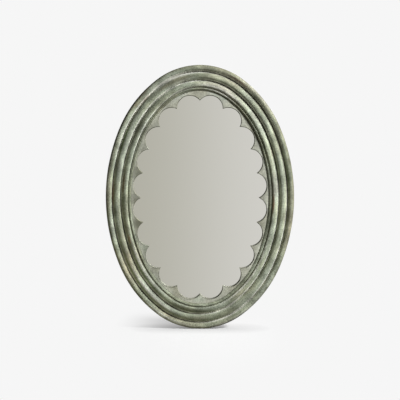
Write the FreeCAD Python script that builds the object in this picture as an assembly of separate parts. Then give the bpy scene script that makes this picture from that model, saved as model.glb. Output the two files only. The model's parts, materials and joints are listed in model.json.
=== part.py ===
import FreeCAD
import Part
import math
import os
from collections import namedtuple

# Oval wall mirror. Eight wooden segments, dowelled end to end, make a reeded oval frame. A slip with a
# scalloped edge, the glass and a backing board lie in a rabbet behind the frame's sight edge, held in by
# turn buttons. Two strap hangers with swinging D-rings and four bumpers are on the back.
#
# Millimetres. X is to the right and Z is up, seen from the front. The wall is the plane Y = 0 and the mirror
# faces -Y. The origin is on the wall, behind the centre of the oval. Heights are measured forwards from the
# frame's back, and offsets inwards from the outer edge of the oval. An angle on the oval is that of its
# outward normal, from straight up and clockwise.

# Oval plan, over the outer bead
OVAL_WIDTH = 642.0
OVAL_HEIGHT = 900.0
END_ARC_SPAN = 74.0
SIDE_ARC_SPAN = 46.0

# Reeded moulding, from the outer edge inwards. A bead's crown lies at a share of its width.
OUTER_BEAD_WIDTH = 22.9
OUTER_BEAD_CROWN_SHARE = 0.44
MIDDLE_BEAD_WIDTH = 28.1
MIDDLE_BEAD_CROWN_SHARE = 0.57
INNER_BEAD_WIDTH = 25.0
INNER_BEAD_CROWN_SHARE = 0.7
SIGHT_BEAD_WIDTH = 11.0
SIGHT_BEAD_CROWN_SHARE = 0.29
WIDE_FLANK_ANGLE = 76.0
SIGHT_FLANK_ANGLE = 88.0
LIP_THICKNESS = 3.8
WIDE_GROOVE_STEP = 4.8
SIGHT_GROOVE_STEP = 0.7
RABBET_WIDTH = 8.0
BACK_CHAMFER = 1.5

# What lies in the rabbet, from the back forwards
BOARD_THICKNESS = 5.0
GLASS_THICKNESS = 4.0
SLIP_THICKNESS = 8.0
BOARD_EDGE_CLEARANCE = 1.0
GLASS_EDGE_CLEARANCE = 1.0
SLIP_EDGE_CLEARANCE = 0.5
SLIP_FACE_RISE = 3.3
SLIP_FACE_CLEARANCE = 0.5
GLASS_EDGE_CHAMFER = 0.6

# Scalloped edge of the slip
SCALLOP_COUNT = 20
SCALLOP_REACH = 33.0
SCALLOP_RISE = 30.0

# Dowels across the glued joints of the frame
DOWEL_DIAMETER = 8.0
DOWEL_LENGTH = 50.0
DOWEL_CHAMFER = 0.8
DOWEL_HEIGHT = 10.0
DOWEL_CLEARANCE = 0.1
DOWEL_END_GAP = 1.0

# Turn buttons and their pivot screws
BUTTON_LENGTH = 34.0
BUTTON_WIDTH = 12.0
BUTTON_THICKNESS = 1.6
BUTTON_SETBACK = 9.0
BUTTON_PLAY = 0.15
PIVOT_CLEARANCE = 0.08
BUTTON_SCREW_DIAMETER = 3.0
BUTTON_SCREW_LENGTH = 14.0
BUTTON_SCREW_HEAD_DIAMETER = 7.0
BUTTON_SCREW_HEAD_HEIGHT = 2.2

# Strap hangers, their D-rings and their screws
HANGER_ANGLE = 74.0
STRAP_WIDTH = 16.0
STRAP_SHEET = 1.2
STRAP_HOLE_PITCH = 13.0
STRAP_HOLE_CLEARANCE = 0.15
RING_WIRE_DIAMETER = 3.6
RING_DROP = 25.0
RING_CORNER_RADIUS = 2.5
RING_SIDE_PLAY = 0.8
RING_REST_GAP = 0.5
RING_TO_SCREW_GAP = 4.0
HANGER_SCREW_DIAMETER = 4.0
HANGER_SCREW_LENGTH = 14.0
HANGER_SCREW_HEAD_DIAMETER = 8.0
HANGER_SCREW_HEAD_HEIGHT = 2.5

# All screws
SCREW_HOLE_CLEARANCE = 0.05
SCREW_HOLE_END_GAP = 1.0
SCREW_POINT_LENGTH = 3.0
RECESS_WIDTH = 0.9
RECESS_DEPTH = 1.1
RECESS_SHARE_OF_HEAD = 0.6

# Bumpers that keep the hangers off the wall
BUMPER_ANGLE = 43.0
BUMPER_DIAMETER = 18.0
BUMPER_FACE_DIAMETER = 14.0
HANGER_WALL_GAP = 0.7

# Worked out from the sizes above
RABBET_DEPTH = BOARD_THICKNESS + GLASS_THICKNESS + SLIP_THICKNESS
SIGHT_HEIGHT = RABBET_DEPTH + LIP_THICKNESS
WIDE_GROOVE_HEIGHT = SIGHT_HEIGHT - WIDE_GROOVE_STEP
SIGHT_GROOVE_HEIGHT = SIGHT_HEIGHT - SIGHT_GROOVE_STEP
SIGHT_OFFSET = OUTER_BEAD_WIDTH + MIDDLE_BEAD_WIDTH + INNER_BEAD_WIDTH + SIGHT_BEAD_WIDTH
RABBET_OFFSET = SIGHT_OFFSET - RABBET_WIDTH
BACK_MIDDLE_OFFSET = (BACK_CHAMFER + RABBET_OFFSET) / 2
BUTTON_PIVOT_OFFSET = RABBET_OFFSET - BUTTON_SETBACK
DOWEL_OFFSETS = (OUTER_BEAD_WIDTH / 2, OUTER_BEAD_WIDTH + MIDDLE_BEAD_WIDTH + INNER_BEAD_WIDTH / 2)
RING_WIRE_RADIUS = RING_WIRE_DIAMETER / 2
KNUCKLE_BORE_RADIUS = RING_WIRE_RADIUS + PIVOT_CLEARANCE
KNUCKLE_RADIUS = KNUCKLE_BORE_RADIUS + STRAP_SHEET
STRAP_THICKNESS = 2 * STRAP_SHEET
STRAP_FIRST_HOLE = RING_DROP + RING_WIRE_RADIUS + RING_TO_SCREW_GAP + HANGER_SCREW_HEAD_DIAMETER / 2
STRAP_HOLES = (STRAP_FIRST_HOLE, STRAP_FIRST_HOLE + STRAP_HOLE_PITCH)
RING_BAR_HALF = STRAP_WIDTH / 2 + RING_SIDE_PLAY
RING_LEG_HALF = RING_BAR_HALF + RING_CORNER_RADIUS
RING_REST_HEIGHT = STRAP_THICKNESS + RING_REST_GAP + RING_WIRE_RADIUS
RING_REST_TILT = math.degrees(math.asin((RING_REST_HEIGHT - KNUCKLE_RADIUS) / RING_DROP))
BUMPER_THICKNESS = 2 * KNUCKLE_RADIUS + HANGER_WALL_GAP

DEPTH_AXIS = FreeCAD.Vector(0, 1, 0)
FORWARDS = FreeCAD.Vector(0, -1, 0)
Arc = namedtuple("Arc", "name centre_x centre_z radius start end")
Bead = namedtuple("Bead", "width crown_share flank_angle inner_height")
Screw = namedtuple("Screw", "diameter length head_diameter head_height")
BEADS = (
    Bead(OUTER_BEAD_WIDTH, OUTER_BEAD_CROWN_SHARE, WIDE_FLANK_ANGLE, WIDE_GROOVE_HEIGHT),
    Bead(MIDDLE_BEAD_WIDTH, MIDDLE_BEAD_CROWN_SHARE, WIDE_FLANK_ANGLE, WIDE_GROOVE_HEIGHT),
    Bead(INNER_BEAD_WIDTH, INNER_BEAD_CROWN_SHARE, WIDE_FLANK_ANGLE, SIGHT_GROOVE_HEIGHT),
    Bead(SIGHT_BEAD_WIDTH, SIGHT_BEAD_CROWN_SHARE, SIGHT_FLANK_ANGLE, SIGHT_HEIGHT),
)
BUTTON_SCREW = Screw(
    BUTTON_SCREW_DIAMETER, BUTTON_SCREW_LENGTH, BUTTON_SCREW_HEAD_DIAMETER, BUTTON_SCREW_HEAD_HEIGHT
)
HANGER_SCREW = Screw(
    HANGER_SCREW_DIAMETER, HANGER_SCREW_LENGTH, HANGER_SCREW_HEAD_DIAMETER, HANGER_SCREW_HEAD_HEIGHT
)


def depth(height):
    """Y of a height above the frame's back."""
    return -BUMPER_THICKNESS - height


def oval_arcs():
    """The eight tangent arcs of the outer edge, clockwise from the top, close to a true ellipse."""
    half_width = OVAL_WIDTH / 2
    half_height = OVAL_HEIGHT / 2
    end_angle = END_ARC_SPAN / 2
    side_angle = 90 - SIDE_ARC_SPAN / 2
    sin_end, cos_end = math.sin(math.radians(end_angle)), math.cos(math.radians(end_angle))
    sin_side, cos_side = math.sin(math.radians(side_angle)), math.cos(math.radians(side_angle))

    def ellipse_point(sine, cosine):
        support = math.hypot(half_width * sine, half_height * cosine)
        return half_width**2 * sine / support, half_height**2 * cosine / support

    # The shoulder arc takes the chord of the ellipse. The other two then close the quarter exactly.
    from_x, from_z = ellipse_point(sin_end, cos_end)
    to_x, to_z = ellipse_point(sin_side, cos_side)
    half_turn = math.radians(side_angle - end_angle) / 2
    shoulder = math.hypot(to_x - from_x, to_z - from_z) / (2 * math.sin(half_turn))
    across = half_width - shoulder * (sin_side - sin_end)
    upright = half_height - shoulder * (cos_end - cos_side)
    determinant = sin_end * cos_side - (1 - sin_side) * (1 - cos_end)
    end = (across * cos_side - (1 - sin_side) * upright) / determinant
    side = (sin_end * upright - (1 - cos_end) * across) / determinant

    end_z = half_height - end
    side_x = half_width - side
    shoulder_x = (end - shoulder) * sin_end
    shoulder_z = end_z + (end - shoulder) * cos_end
    return [
        Arc("top", 0, end_z, end, -end_angle, end_angle),
        Arc("upper_right", shoulder_x, shoulder_z, shoulder, end_angle, side_angle),
        Arc("right", side_x, 0, side, side_angle, 180 - side_angle),
        Arc("lower_right", shoulder_x, -shoulder_z, shoulder, 180 - side_angle, 180 - end_angle),
        Arc("bottom", 0, -end_z, end, 180 - end_angle, 180 + end_angle),
        Arc("lower_left", -shoulder_x, -shoulder_z, shoulder, 180 + end_angle, 180 + side_angle),
        Arc("left", -side_x, 0, side, 180 + side_angle, 360 - side_angle),
        Arc("upper_left", -shoulder_x, shoulder_z, shoulder, 360 - side_angle, 360 - end_angle),
    ]


ARCS = oval_arcs()


def on_arc(arc, angle, offset, height):
    """The point of an arc's radial plane at an offset and a height."""
    reach = arc.radius - offset
    turn = math.radians(angle)
    return FreeCAD.Vector(
        arc.centre_x + reach * math.sin(turn), depth(height), arc.centre_z + reach * math.cos(turn)
    )


def arc_at(angle):
    """The arc that holds an angle of the oval."""
    for arc in ARCS:
        if arc.start <= angle <= arc.end:
            return arc
    return arc_at(angle - 360) if angle > 0 else arc_at(angle + 360)


def on_oval(angle, offset, height):
    """The point of the oval at an angle, an offset and a height."""
    arc = arc_at(angle)
    turned = angle - 360 if angle > arc.end else angle
    return on_arc(arc, turned, offset, height)


def angle_along(share, offset):
    """The angle of the oval at a share of the way round an offset curve, clockwise from the top."""
    lengths = [(arc.radius - offset) * math.radians(arc.end - arc.start) for arc in ARCS]
    left = (share * sum(lengths) + lengths[0] / 2) % sum(lengths)
    for arc, length in zip(ARCS, lengths):
        if left <= length:
            return arc.start + (arc.end - arc.start) * left / length
        left -= length
    return ARCS[-1].end


def oval_wire(offset, height):
    """The closed outline of the oval at an offset and a height."""
    edges = []
    for arc in ARCS:
        angles = (arc.start, (arc.start + arc.end) / 2, arc.end)
        edges.append(Part.Arc(*[on_arc(arc, angle, offset, height) for angle in angles]).toShape())
    return Part.Wire(edges)


def oval_plate(offset, back, thickness):
    """A flat oval plate whose back is at a height."""
    return Part.Face(oval_wire(offset, back)).extrude(FORWARDS * thickness)


def flank_middle(foot, crown):
    """Offset and height halfway along a bead's flank, a round that lies level at the crown."""
    reach = foot[0] - crown[0]
    drop = crown[1] - foot[1]
    half_turn = math.atan2(drop, abs(reach))
    radius = abs(reach) / math.sin(2 * half_turn)
    across = math.copysign(radius * math.sin(half_turn), reach)
    return crown[0] + across, crown[1] - radius * (1 - math.cos(half_turn))


def moulding_face(arc):
    """Section of the moulding, on the radial plane where an arc starts."""
    def point(offset, height):
        return on_arc(arc, arc.start, offset, height)

    edges = [
        Part.makeLine(point(BACK_CHAMFER, 0), point(0, BACK_CHAMFER)),
        Part.makeLine(point(0, BACK_CHAMFER), point(0, WIDE_GROOVE_HEIGHT)),
    ]
    # Each crown is as high as its steeper flank allows.
    outer = 0, WIDE_GROOVE_HEIGHT
    for bead in BEADS:
        slope = math.tan(math.radians(bead.flank_angle / 2))
        inner = outer[0] + bead.width, bead.inner_height
        crown_offset = outer[0] + bead.width * bead.crown_share
        heights = [foot[1] + slope * abs(crown_offset - foot[0]) for foot in (outer, inner)]
        crown = crown_offset, min(heights)
        for foot in (outer, inner):
            stops = point(*foot), point(*flank_middle(foot, crown)), point(*crown)
            edges.append(Part.Arc(*stops).toShape())
        outer = inner
    corners = [
        point(SIGHT_OFFSET, SIGHT_HEIGHT),
        point(SIGHT_OFFSET, RABBET_DEPTH),
        point(RABBET_OFFSET, RABBET_DEPTH),
        point(RABBET_OFFSET, 0),
        point(BACK_CHAMFER, 0),
    ]
    edges += [Part.makeLine(here, there) for here, there in zip(corners, corners[1:])]
    return Part.Face(Part.Wire(edges))


def along(angle):
    """Unit vector along the oval, clockwise."""
    turn = math.radians(angle)
    return FreeCAD.Vector(math.cos(turn), 0, -math.sin(turn))


def screw_hole(seat, screw, grip):
    """Pilot hole in the frame for a screw whose head lies on something of thickness grip."""
    radius = screw.diameter / 2 + SCREW_HOLE_CLEARANCE
    return Part.makeCylinder(radius, screw.length - grip + SCREW_HOLE_END_GAP, seat, FORWARDS)


def dowel_holes(arc):
    """Blind holes for the dowels at both ends of a segment."""
    radius = DOWEL_DIAMETER / 2 + DOWEL_CLEARANCE
    reach = DOWEL_LENGTH / 2 + DOWEL_END_GAP
    holes = []
    for angle, inwards in ((arc.start, along(arc.start)), (arc.end, along(arc.end) * -1)):
        for offset in DOWEL_OFFSETS:
            centre = on_arc(arc, angle, offset, DOWEL_HEIGHT)
            holes.append(Part.makeCylinder(radius, reach, centre, inwards))
    return holes


def frame_segment(arc):
    """One segment of the frame, with its dowel holes and pilot holes."""
    body = moulding_face(arc).revolve(
        FreeCAD.Vector(arc.centre_x, 0, arc.centre_z), DEPTH_AXIS, arc.end - arc.start
    )
    cutters = dowel_holes(arc)
    cutters.append(screw_hole(button_seat(arc), BUTTON_SCREW, BUTTON_THICKNESS + 2 * BUTTON_PLAY))
    for angle, pivot in hanger_pivots().values():
        if arc_at(angle) is arc:
            cutters += [screw_hole(seat, HANGER_SCREW, STRAP_THICKNESS) for seat in strap_hole_seats(pivot)]
    return body.cut(cutters)


def dowels():
    """Two dowels across every joint between segments."""
    made = []
    for arc in ARCS:
        direction = along(arc.end)
        for offset in DOWEL_OFFSETS:
            tail = on_arc(arc, arc.end, offset, DOWEL_HEIGHT) - direction * (DOWEL_LENGTH / 2)
            pin = Part.makeCylinder(DOWEL_DIAMETER / 2, DOWEL_LENGTH, tail, direction)
            rims = [edge for edge in pin.Edges if edge.Closed]
            made.append(pin.makeChamfer(DOWEL_CHAMFER, rims))
    return Part.makeCompound(made)


def scallop_arc(start, end):
    """One scallop: a round that rises outwards by the same amount from every pair of points."""
    chord = end - start
    outwards = FreeCAD.Vector(-chord.z, 0, chord.x).normalize()
    return Part.Arc(start, (start + end) / 2 + outwards * SCALLOP_RISE, end).toShape()


def scalloped_slip():
    """Slip in front of the glass: a flange in the rabbet and a face that stands up inside the sight edge.

    Equal scallops meet in points that reach in over the glass.
    """
    back = BOARD_THICKNESS + GLASS_THICKNESS
    face_thickness = SLIP_THICKNESS + SLIP_FACE_RISE
    reach = SIGHT_OFFSET + SCALLOP_REACH
    shares = [index / SCALLOP_COUNT for index in range(SCALLOP_COUNT)]
    points = [on_oval(angle_along(share, reach), reach, back) for share in shares]
    edges = [scallop_arc(start, end) for start, end in zip(points, points[1:] + points[:1])]
    opening = Part.Face(Part.Wire(edges)).extrude(FORWARDS * face_thickness)
    flange = oval_plate(RABBET_OFFSET + SLIP_EDGE_CLEARANCE, back, SLIP_THICKNESS)
    face = oval_plate(SIGHT_OFFSET + SLIP_FACE_CLEARANCE, back, face_thickness)
    return flange.fuse(face).removeSplitter().cut(opening)


def mirror_glass():
    """Silvered glass with ground edges."""
    pane = oval_plate(RABBET_OFFSET + GLASS_EDGE_CLEARANCE, BOARD_THICKNESS, GLASS_THICKNESS)
    faces = depth(BOARD_THICKNESS), depth(BOARD_THICKNESS + GLASS_THICKNESS)
    rims = [
        edge
        for edge in pane.Edges
        if any(abs(edge.BoundBox.YMin - y) + abs(edge.BoundBox.YMax - y) < GLASS_EDGE_CHAMFER for y in faces)
    ]
    return pane.makeChamfer(GLASS_EDGE_CHAMFER, rims)


def backing_board():
    """Board behind the glass, flush with the frame's back."""
    return oval_plate(RABBET_OFFSET + BOARD_EDGE_CLEARANCE, 0, BOARD_THICKNESS)


def middle_angle(arc):
    """The angle halfway along an arc."""
    return (arc.start + arc.end) / 2


def button_seat(arc):
    """Where a turn button's pivot meets the frame's back, halfway along a segment."""
    return on_arc(arc, middle_angle(arc), BUTTON_PIVOT_OFFSET, 0)


def turn_button(arc):
    """Round-ended plate that turns on its screw, closed: its long end lies over the board."""
    radius = BUTTON_WIDTH / 2
    reach = BUTTON_LENGTH - BUTTON_WIDTH
    corner = FreeCAD.Vector(-radius, 0, -reach)
    plate = Part.makeBox(BUTTON_WIDTH, BUTTON_THICKNESS, reach, corner)
    for z in (0, -reach):
        plate = plate.fuse(Part.makeCylinder(radius, BUTTON_THICKNESS, FreeCAD.Vector(0, 0, z), DEPTH_AXIS))
    bore = BUTTON_SCREW_DIAMETER / 2 + PIVOT_CLEARANCE
    plate = plate.removeSplitter().cut(
        Part.makeCylinder(bore, BUTTON_THICKNESS, FreeCAD.Vector(0, 0, 0), DEPTH_AXIS)
    )
    plate.rotate(FreeCAD.Vector(0, 0, 0), DEPTH_AXIS, middle_angle(arc))
    plate.translate(button_seat(arc) + DEPTH_AXIS * BUTTON_PLAY)
    return plate


def wood_screw(screw, head_seat):
    """Pan-head screw with a cross recess, driven forwards from where its head lies."""
    radius = screw.diameter / 2
    head_radius = screw.head_diameter / 2
    straight = screw.length - SCREW_POINT_LENGTH
    head = Part.makeCylinder(head_radius, screw.head_height, head_seat, DEPTH_AXIS)
    top = head_seat.y + screw.head_height
    near_top = top - screw.head_height / 2
    rims = [edge for edge in head.Edges if edge.Closed and edge.BoundBox.YMin > near_top]
    head = head.makeFillet(min(screw.head_height, head_radius) / 2, rims)
    recess_length = screw.head_diameter * RECESS_SHARE_OF_HEAD
    for size_x, size_z in ((recess_length, RECESS_WIDTH), (RECESS_WIDTH, recess_length)):
        corner = FreeCAD.Vector(head_seat.x - size_x / 2, top - RECESS_DEPTH, head_seat.z - size_z / 2)
        head = head.cut(Part.makeBox(size_x, RECESS_DEPTH, size_z, corner))
    shank = Part.makeCylinder(radius, straight, head_seat, FORWARDS)
    point = Part.makeCone(radius, radius / 4, SCREW_POINT_LENGTH, head_seat + FORWARDS * straight, FORWARDS)
    return head.fuse([shank, point]).removeSplitter()


def button_screws():
    """Pivot screws of the turn buttons."""
    rise = DEPTH_AXIS * (BUTTON_THICKNESS + 2 * BUTTON_PLAY)
    return Part.makeCompound([wood_screw(BUTTON_SCREW, button_seat(arc) + rise) for arc in ARCS])


def hanger_pivots():
    """Angle on the oval and axis of each D-ring, by side, at the middle of its knuckle."""
    angles = {"left": 360 - HANGER_ANGLE, "right": HANGER_ANGLE}
    return {
        side: (angle, on_oval(angle, BACK_MIDDLE_OFFSET, -KNUCKLE_RADIUS)) for side, angle in angles.items()
    }


def strap_hole_seats(pivot):
    """Where the screw axes of a strap meet the frame's back, below its pivot."""
    return [FreeCAD.Vector(pivot.x, depth(0), pivot.z - drop) for drop in STRAP_HOLES]


def hanger_strap(pivot):
    """Steel strip folded round the bar of a D-ring, with a rounded lower end and two screw holes."""
    seats = strap_hole_seats(pivot)
    half = STRAP_WIDTH / 2
    lower_end = seats[-1]
    corner = FreeCAD.Vector(pivot.x - half, depth(0), lower_end.z)
    strap = Part.makeBox(STRAP_WIDTH, STRAP_THICKNESS, pivot.z - lower_end.z, corner)
    strap = strap.fuse(Part.makeCylinder(half, STRAP_THICKNESS, lower_end, DEPTH_AXIS))
    end = FreeCAD.Vector(pivot.x - half, pivot.y, pivot.z)
    across = FreeCAD.Vector(1, 0, 0)
    strap = strap.fuse(Part.makeCylinder(KNUCKLE_RADIUS, STRAP_WIDTH, end, across)).removeSplitter()
    hole = HANGER_SCREW_DIAMETER / 2 + STRAP_HOLE_CLEARANCE
    cutters = [Part.makeCylinder(KNUCKLE_BORE_RADIUS, STRAP_WIDTH, end, across)]
    cutters += [Part.makeCylinder(hole, STRAP_THICKNESS, seat, DEPTH_AXIS) for seat in seats]
    return strap.cut(cutters)


def d_ring(pivot):
    """Wire D-ring hanging from its bar, tilted out just enough to lie over its strap."""
    across = FreeCAD.Vector(1, 0, 0)
    bend_z = -RING_CORNER_RADIUS
    crown_z = RING_LEG_HALF - RING_DROP
    crown_end = FreeCAD.Vector(0, 0, -RING_DROP)
    slant = RING_CORNER_RADIUS * math.sqrt(0.5)
    edges = [Part.makeLine(FreeCAD.Vector(-RING_BAR_HALF, 0, 0), FreeCAD.Vector(RING_BAR_HALF, 0, 0))]
    for side in (1, -1):
        bar_end = FreeCAD.Vector(side * RING_BAR_HALF, 0, 0)
        leg_top = FreeCAD.Vector(side * RING_LEG_HALF, 0, bend_z)
        middle = FreeCAD.Vector(side * (RING_BAR_HALF + slant), 0, bend_z + slant)
        leg_foot = FreeCAD.Vector(side * RING_LEG_HALF, 0, crown_z)
        edges.append(Part.Arc(bar_end, middle, leg_top).toShape())
        edges.append(Part.makeLine(leg_top, leg_foot))
    feet = [FreeCAD.Vector(side * RING_LEG_HALF, 0, crown_z) for side in (1, -1)]
    edges.append(Part.Arc(feet[0], crown_end, feet[1]).toShape())
    path = Part.Wire(Part.__sortEdges__(edges))
    section = Part.Wire(Part.makeCircle(RING_WIRE_RADIUS, FreeCAD.Vector(0, 0, 0), across))
    ring = path.makePipeShell([section], True, False)
    ring.rotate(FreeCAD.Vector(0, 0, 0), across, RING_REST_TILT)
    ring.translate(pivot)
    return ring


def hanger_screws():
    """Screws of both straps."""
    rise = DEPTH_AXIS * STRAP_THICKNESS
    seats = [seat for _, pivot in hanger_pivots().values() for seat in strap_hole_seats(pivot)]
    return Part.makeCompound([wood_screw(HANGER_SCREW, seat + rise) for seat in seats])


def bumper_seats():
    """Centres of the bumpers on the frame's back."""
    angles = (BUMPER_ANGLE, 180 - BUMPER_ANGLE, 180 + BUMPER_ANGLE, 360 - BUMPER_ANGLE)
    return [on_oval(angle, BACK_MIDDLE_OFFSET, 0) for angle in angles]


def wall_bumpers():
    """Tapered bumpers whose faces lie on the wall."""
    radii = BUMPER_DIAMETER / 2, BUMPER_FACE_DIAMETER / 2
    return Part.makeCompound(
        [Part.makeCone(*radii, BUMPER_THICKNESS, seat, DEPTH_AXIS) for seat in bumper_seats()]
    )


def nodes():
    """Every sub-part by name."""
    made = {
        "segment_dowels": dowels(),
        "scalloped_slip": scalloped_slip(),
        "mirror_glass": mirror_glass(),
        "backing_board": backing_board(),
        "turn_button_screws": button_screws(),
        "hanger_screws": hanger_screws(),
        "wall_bumpers": wall_bumpers(),
    }
    for arc in ARCS:
        made["frame_" + arc.name] = frame_segment(arc)
        made["turn_button_" + arc.name] = turn_button(arc)
    for side, (_, pivot) in hanger_pivots().items():
        made["hanger_strap_" + side] = hanger_strap(pivot)
        made["d_ring_" + side] = d_ring(pivot)
    return made


def main():
    os.makedirs("parts", exist_ok=True)
    for name, shape in nodes().items():
        shape.exportStep(os.path.join("parts", name + ".step"))
        print(name, len(shape.Solids), "solids", shape.isValid(), round(shape.Volume), "mm3")


main()
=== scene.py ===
"""Looks of an oval wall mirror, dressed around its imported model.

Metres, in the model's own frame: X to the right and Z up seen from the front, the glass faces -Y and the wall
is Y = 0. Offsets are measured inwards from the oval's outer edge, heights forwards from the frame's back. An
angle on the oval is that of its outward normal, from straight up and clockwise, in radians.
"""

import json
import logging
import math
from collections.abc import Callable, Iterable, Sequence
from dataclasses import dataclass, field
from enum import Enum

import bmesh
import bpy
from mathutils import Matrix, Vector


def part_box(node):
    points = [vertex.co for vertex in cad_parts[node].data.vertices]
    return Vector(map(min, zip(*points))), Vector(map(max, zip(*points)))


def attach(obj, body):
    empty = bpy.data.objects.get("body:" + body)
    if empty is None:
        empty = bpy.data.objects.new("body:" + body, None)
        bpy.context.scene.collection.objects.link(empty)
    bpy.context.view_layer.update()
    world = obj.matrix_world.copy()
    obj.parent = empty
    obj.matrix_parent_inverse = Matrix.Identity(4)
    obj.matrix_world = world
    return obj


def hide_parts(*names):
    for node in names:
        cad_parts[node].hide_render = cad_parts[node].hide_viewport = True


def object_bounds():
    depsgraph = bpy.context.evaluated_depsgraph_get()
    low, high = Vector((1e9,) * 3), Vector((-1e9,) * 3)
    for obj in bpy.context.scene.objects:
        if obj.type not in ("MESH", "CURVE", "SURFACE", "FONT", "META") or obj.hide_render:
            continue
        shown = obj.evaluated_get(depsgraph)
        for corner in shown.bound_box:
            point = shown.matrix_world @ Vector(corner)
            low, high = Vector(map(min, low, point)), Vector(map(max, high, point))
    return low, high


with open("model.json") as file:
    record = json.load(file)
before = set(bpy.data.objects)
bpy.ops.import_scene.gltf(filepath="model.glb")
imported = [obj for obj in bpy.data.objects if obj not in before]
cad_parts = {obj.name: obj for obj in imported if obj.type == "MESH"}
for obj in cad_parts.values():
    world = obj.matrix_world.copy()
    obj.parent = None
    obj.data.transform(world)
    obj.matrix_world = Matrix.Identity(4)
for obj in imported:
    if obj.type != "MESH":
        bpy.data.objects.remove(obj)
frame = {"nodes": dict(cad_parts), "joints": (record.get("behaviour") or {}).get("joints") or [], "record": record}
CAD_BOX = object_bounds()
LOG = logging.getLogger("oval_mirror")

# A fade is the two values between which something sets in, and its strength at each, if not 0 and 1.
Fade = tuple[float, ...]
Colour = tuple[float, float, float, float]
Pair = tuple[float, float]
Triple = tuple[float, float, float]
Socket = bpy.types.NodeSocket
TURN = 2 * math.pi
MERGE_DISTANCE = 1e-6
FLAT_ANGLE = math.radians(1.0)
SHARP_ANGLE = math.radians(38.0)
EDGE_ANGLE = math.radians(40.0)
EASED_SEGMENTS = 2


class Attribute(str, Enum):
    """Names of the values that meshes carry for their materials."""

    TONE = "tone"
    FLOW = "flow"
    PLANK = "plank"


class Body(str, Enum):
    """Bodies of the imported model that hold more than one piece."""

    FRAME = "frame"


class Slot(str, Enum):
    """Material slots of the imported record."""

    FRAME_WOOD = "patinated_wood"
    SLIP_WOOD = "patinated_slip"
    BRASS = "button_brass"
    SCREW = "screw_steel"
    HANGER = "hanger_steel"
    RUBBER = "bumper_rubber"


def shade(red: int, green: int, blue: int) -> Colour:
    """Turns a display colour into a linear one.

    Args:
        red: Red, from 0 to 255.
        green: Green, likewise.
        blue: Blue, likewise.

    Returns:
        The linear colour, opaque.
    """
    parts = (value / 255 for value in (red, green, blue))
    linear = [p / 12.92 if p <= 0.04045 else ((p + 0.055) / 1.055) ** 2.4 for p in parts]
    return (*linear, 1.0)


def grey(level: float) -> Colour:
    """Neutral linear colour of a level."""
    return (level, level, level, 1.0)


@dataclass(frozen=True)
class Noise:
    """Cloudy noise: how fine it is, how many layers it has and how strong the finer ones are."""

    MIDDLE = 0.5

    scale: float
    detail: float = 2.0
    roughness: float = 0.5


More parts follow.
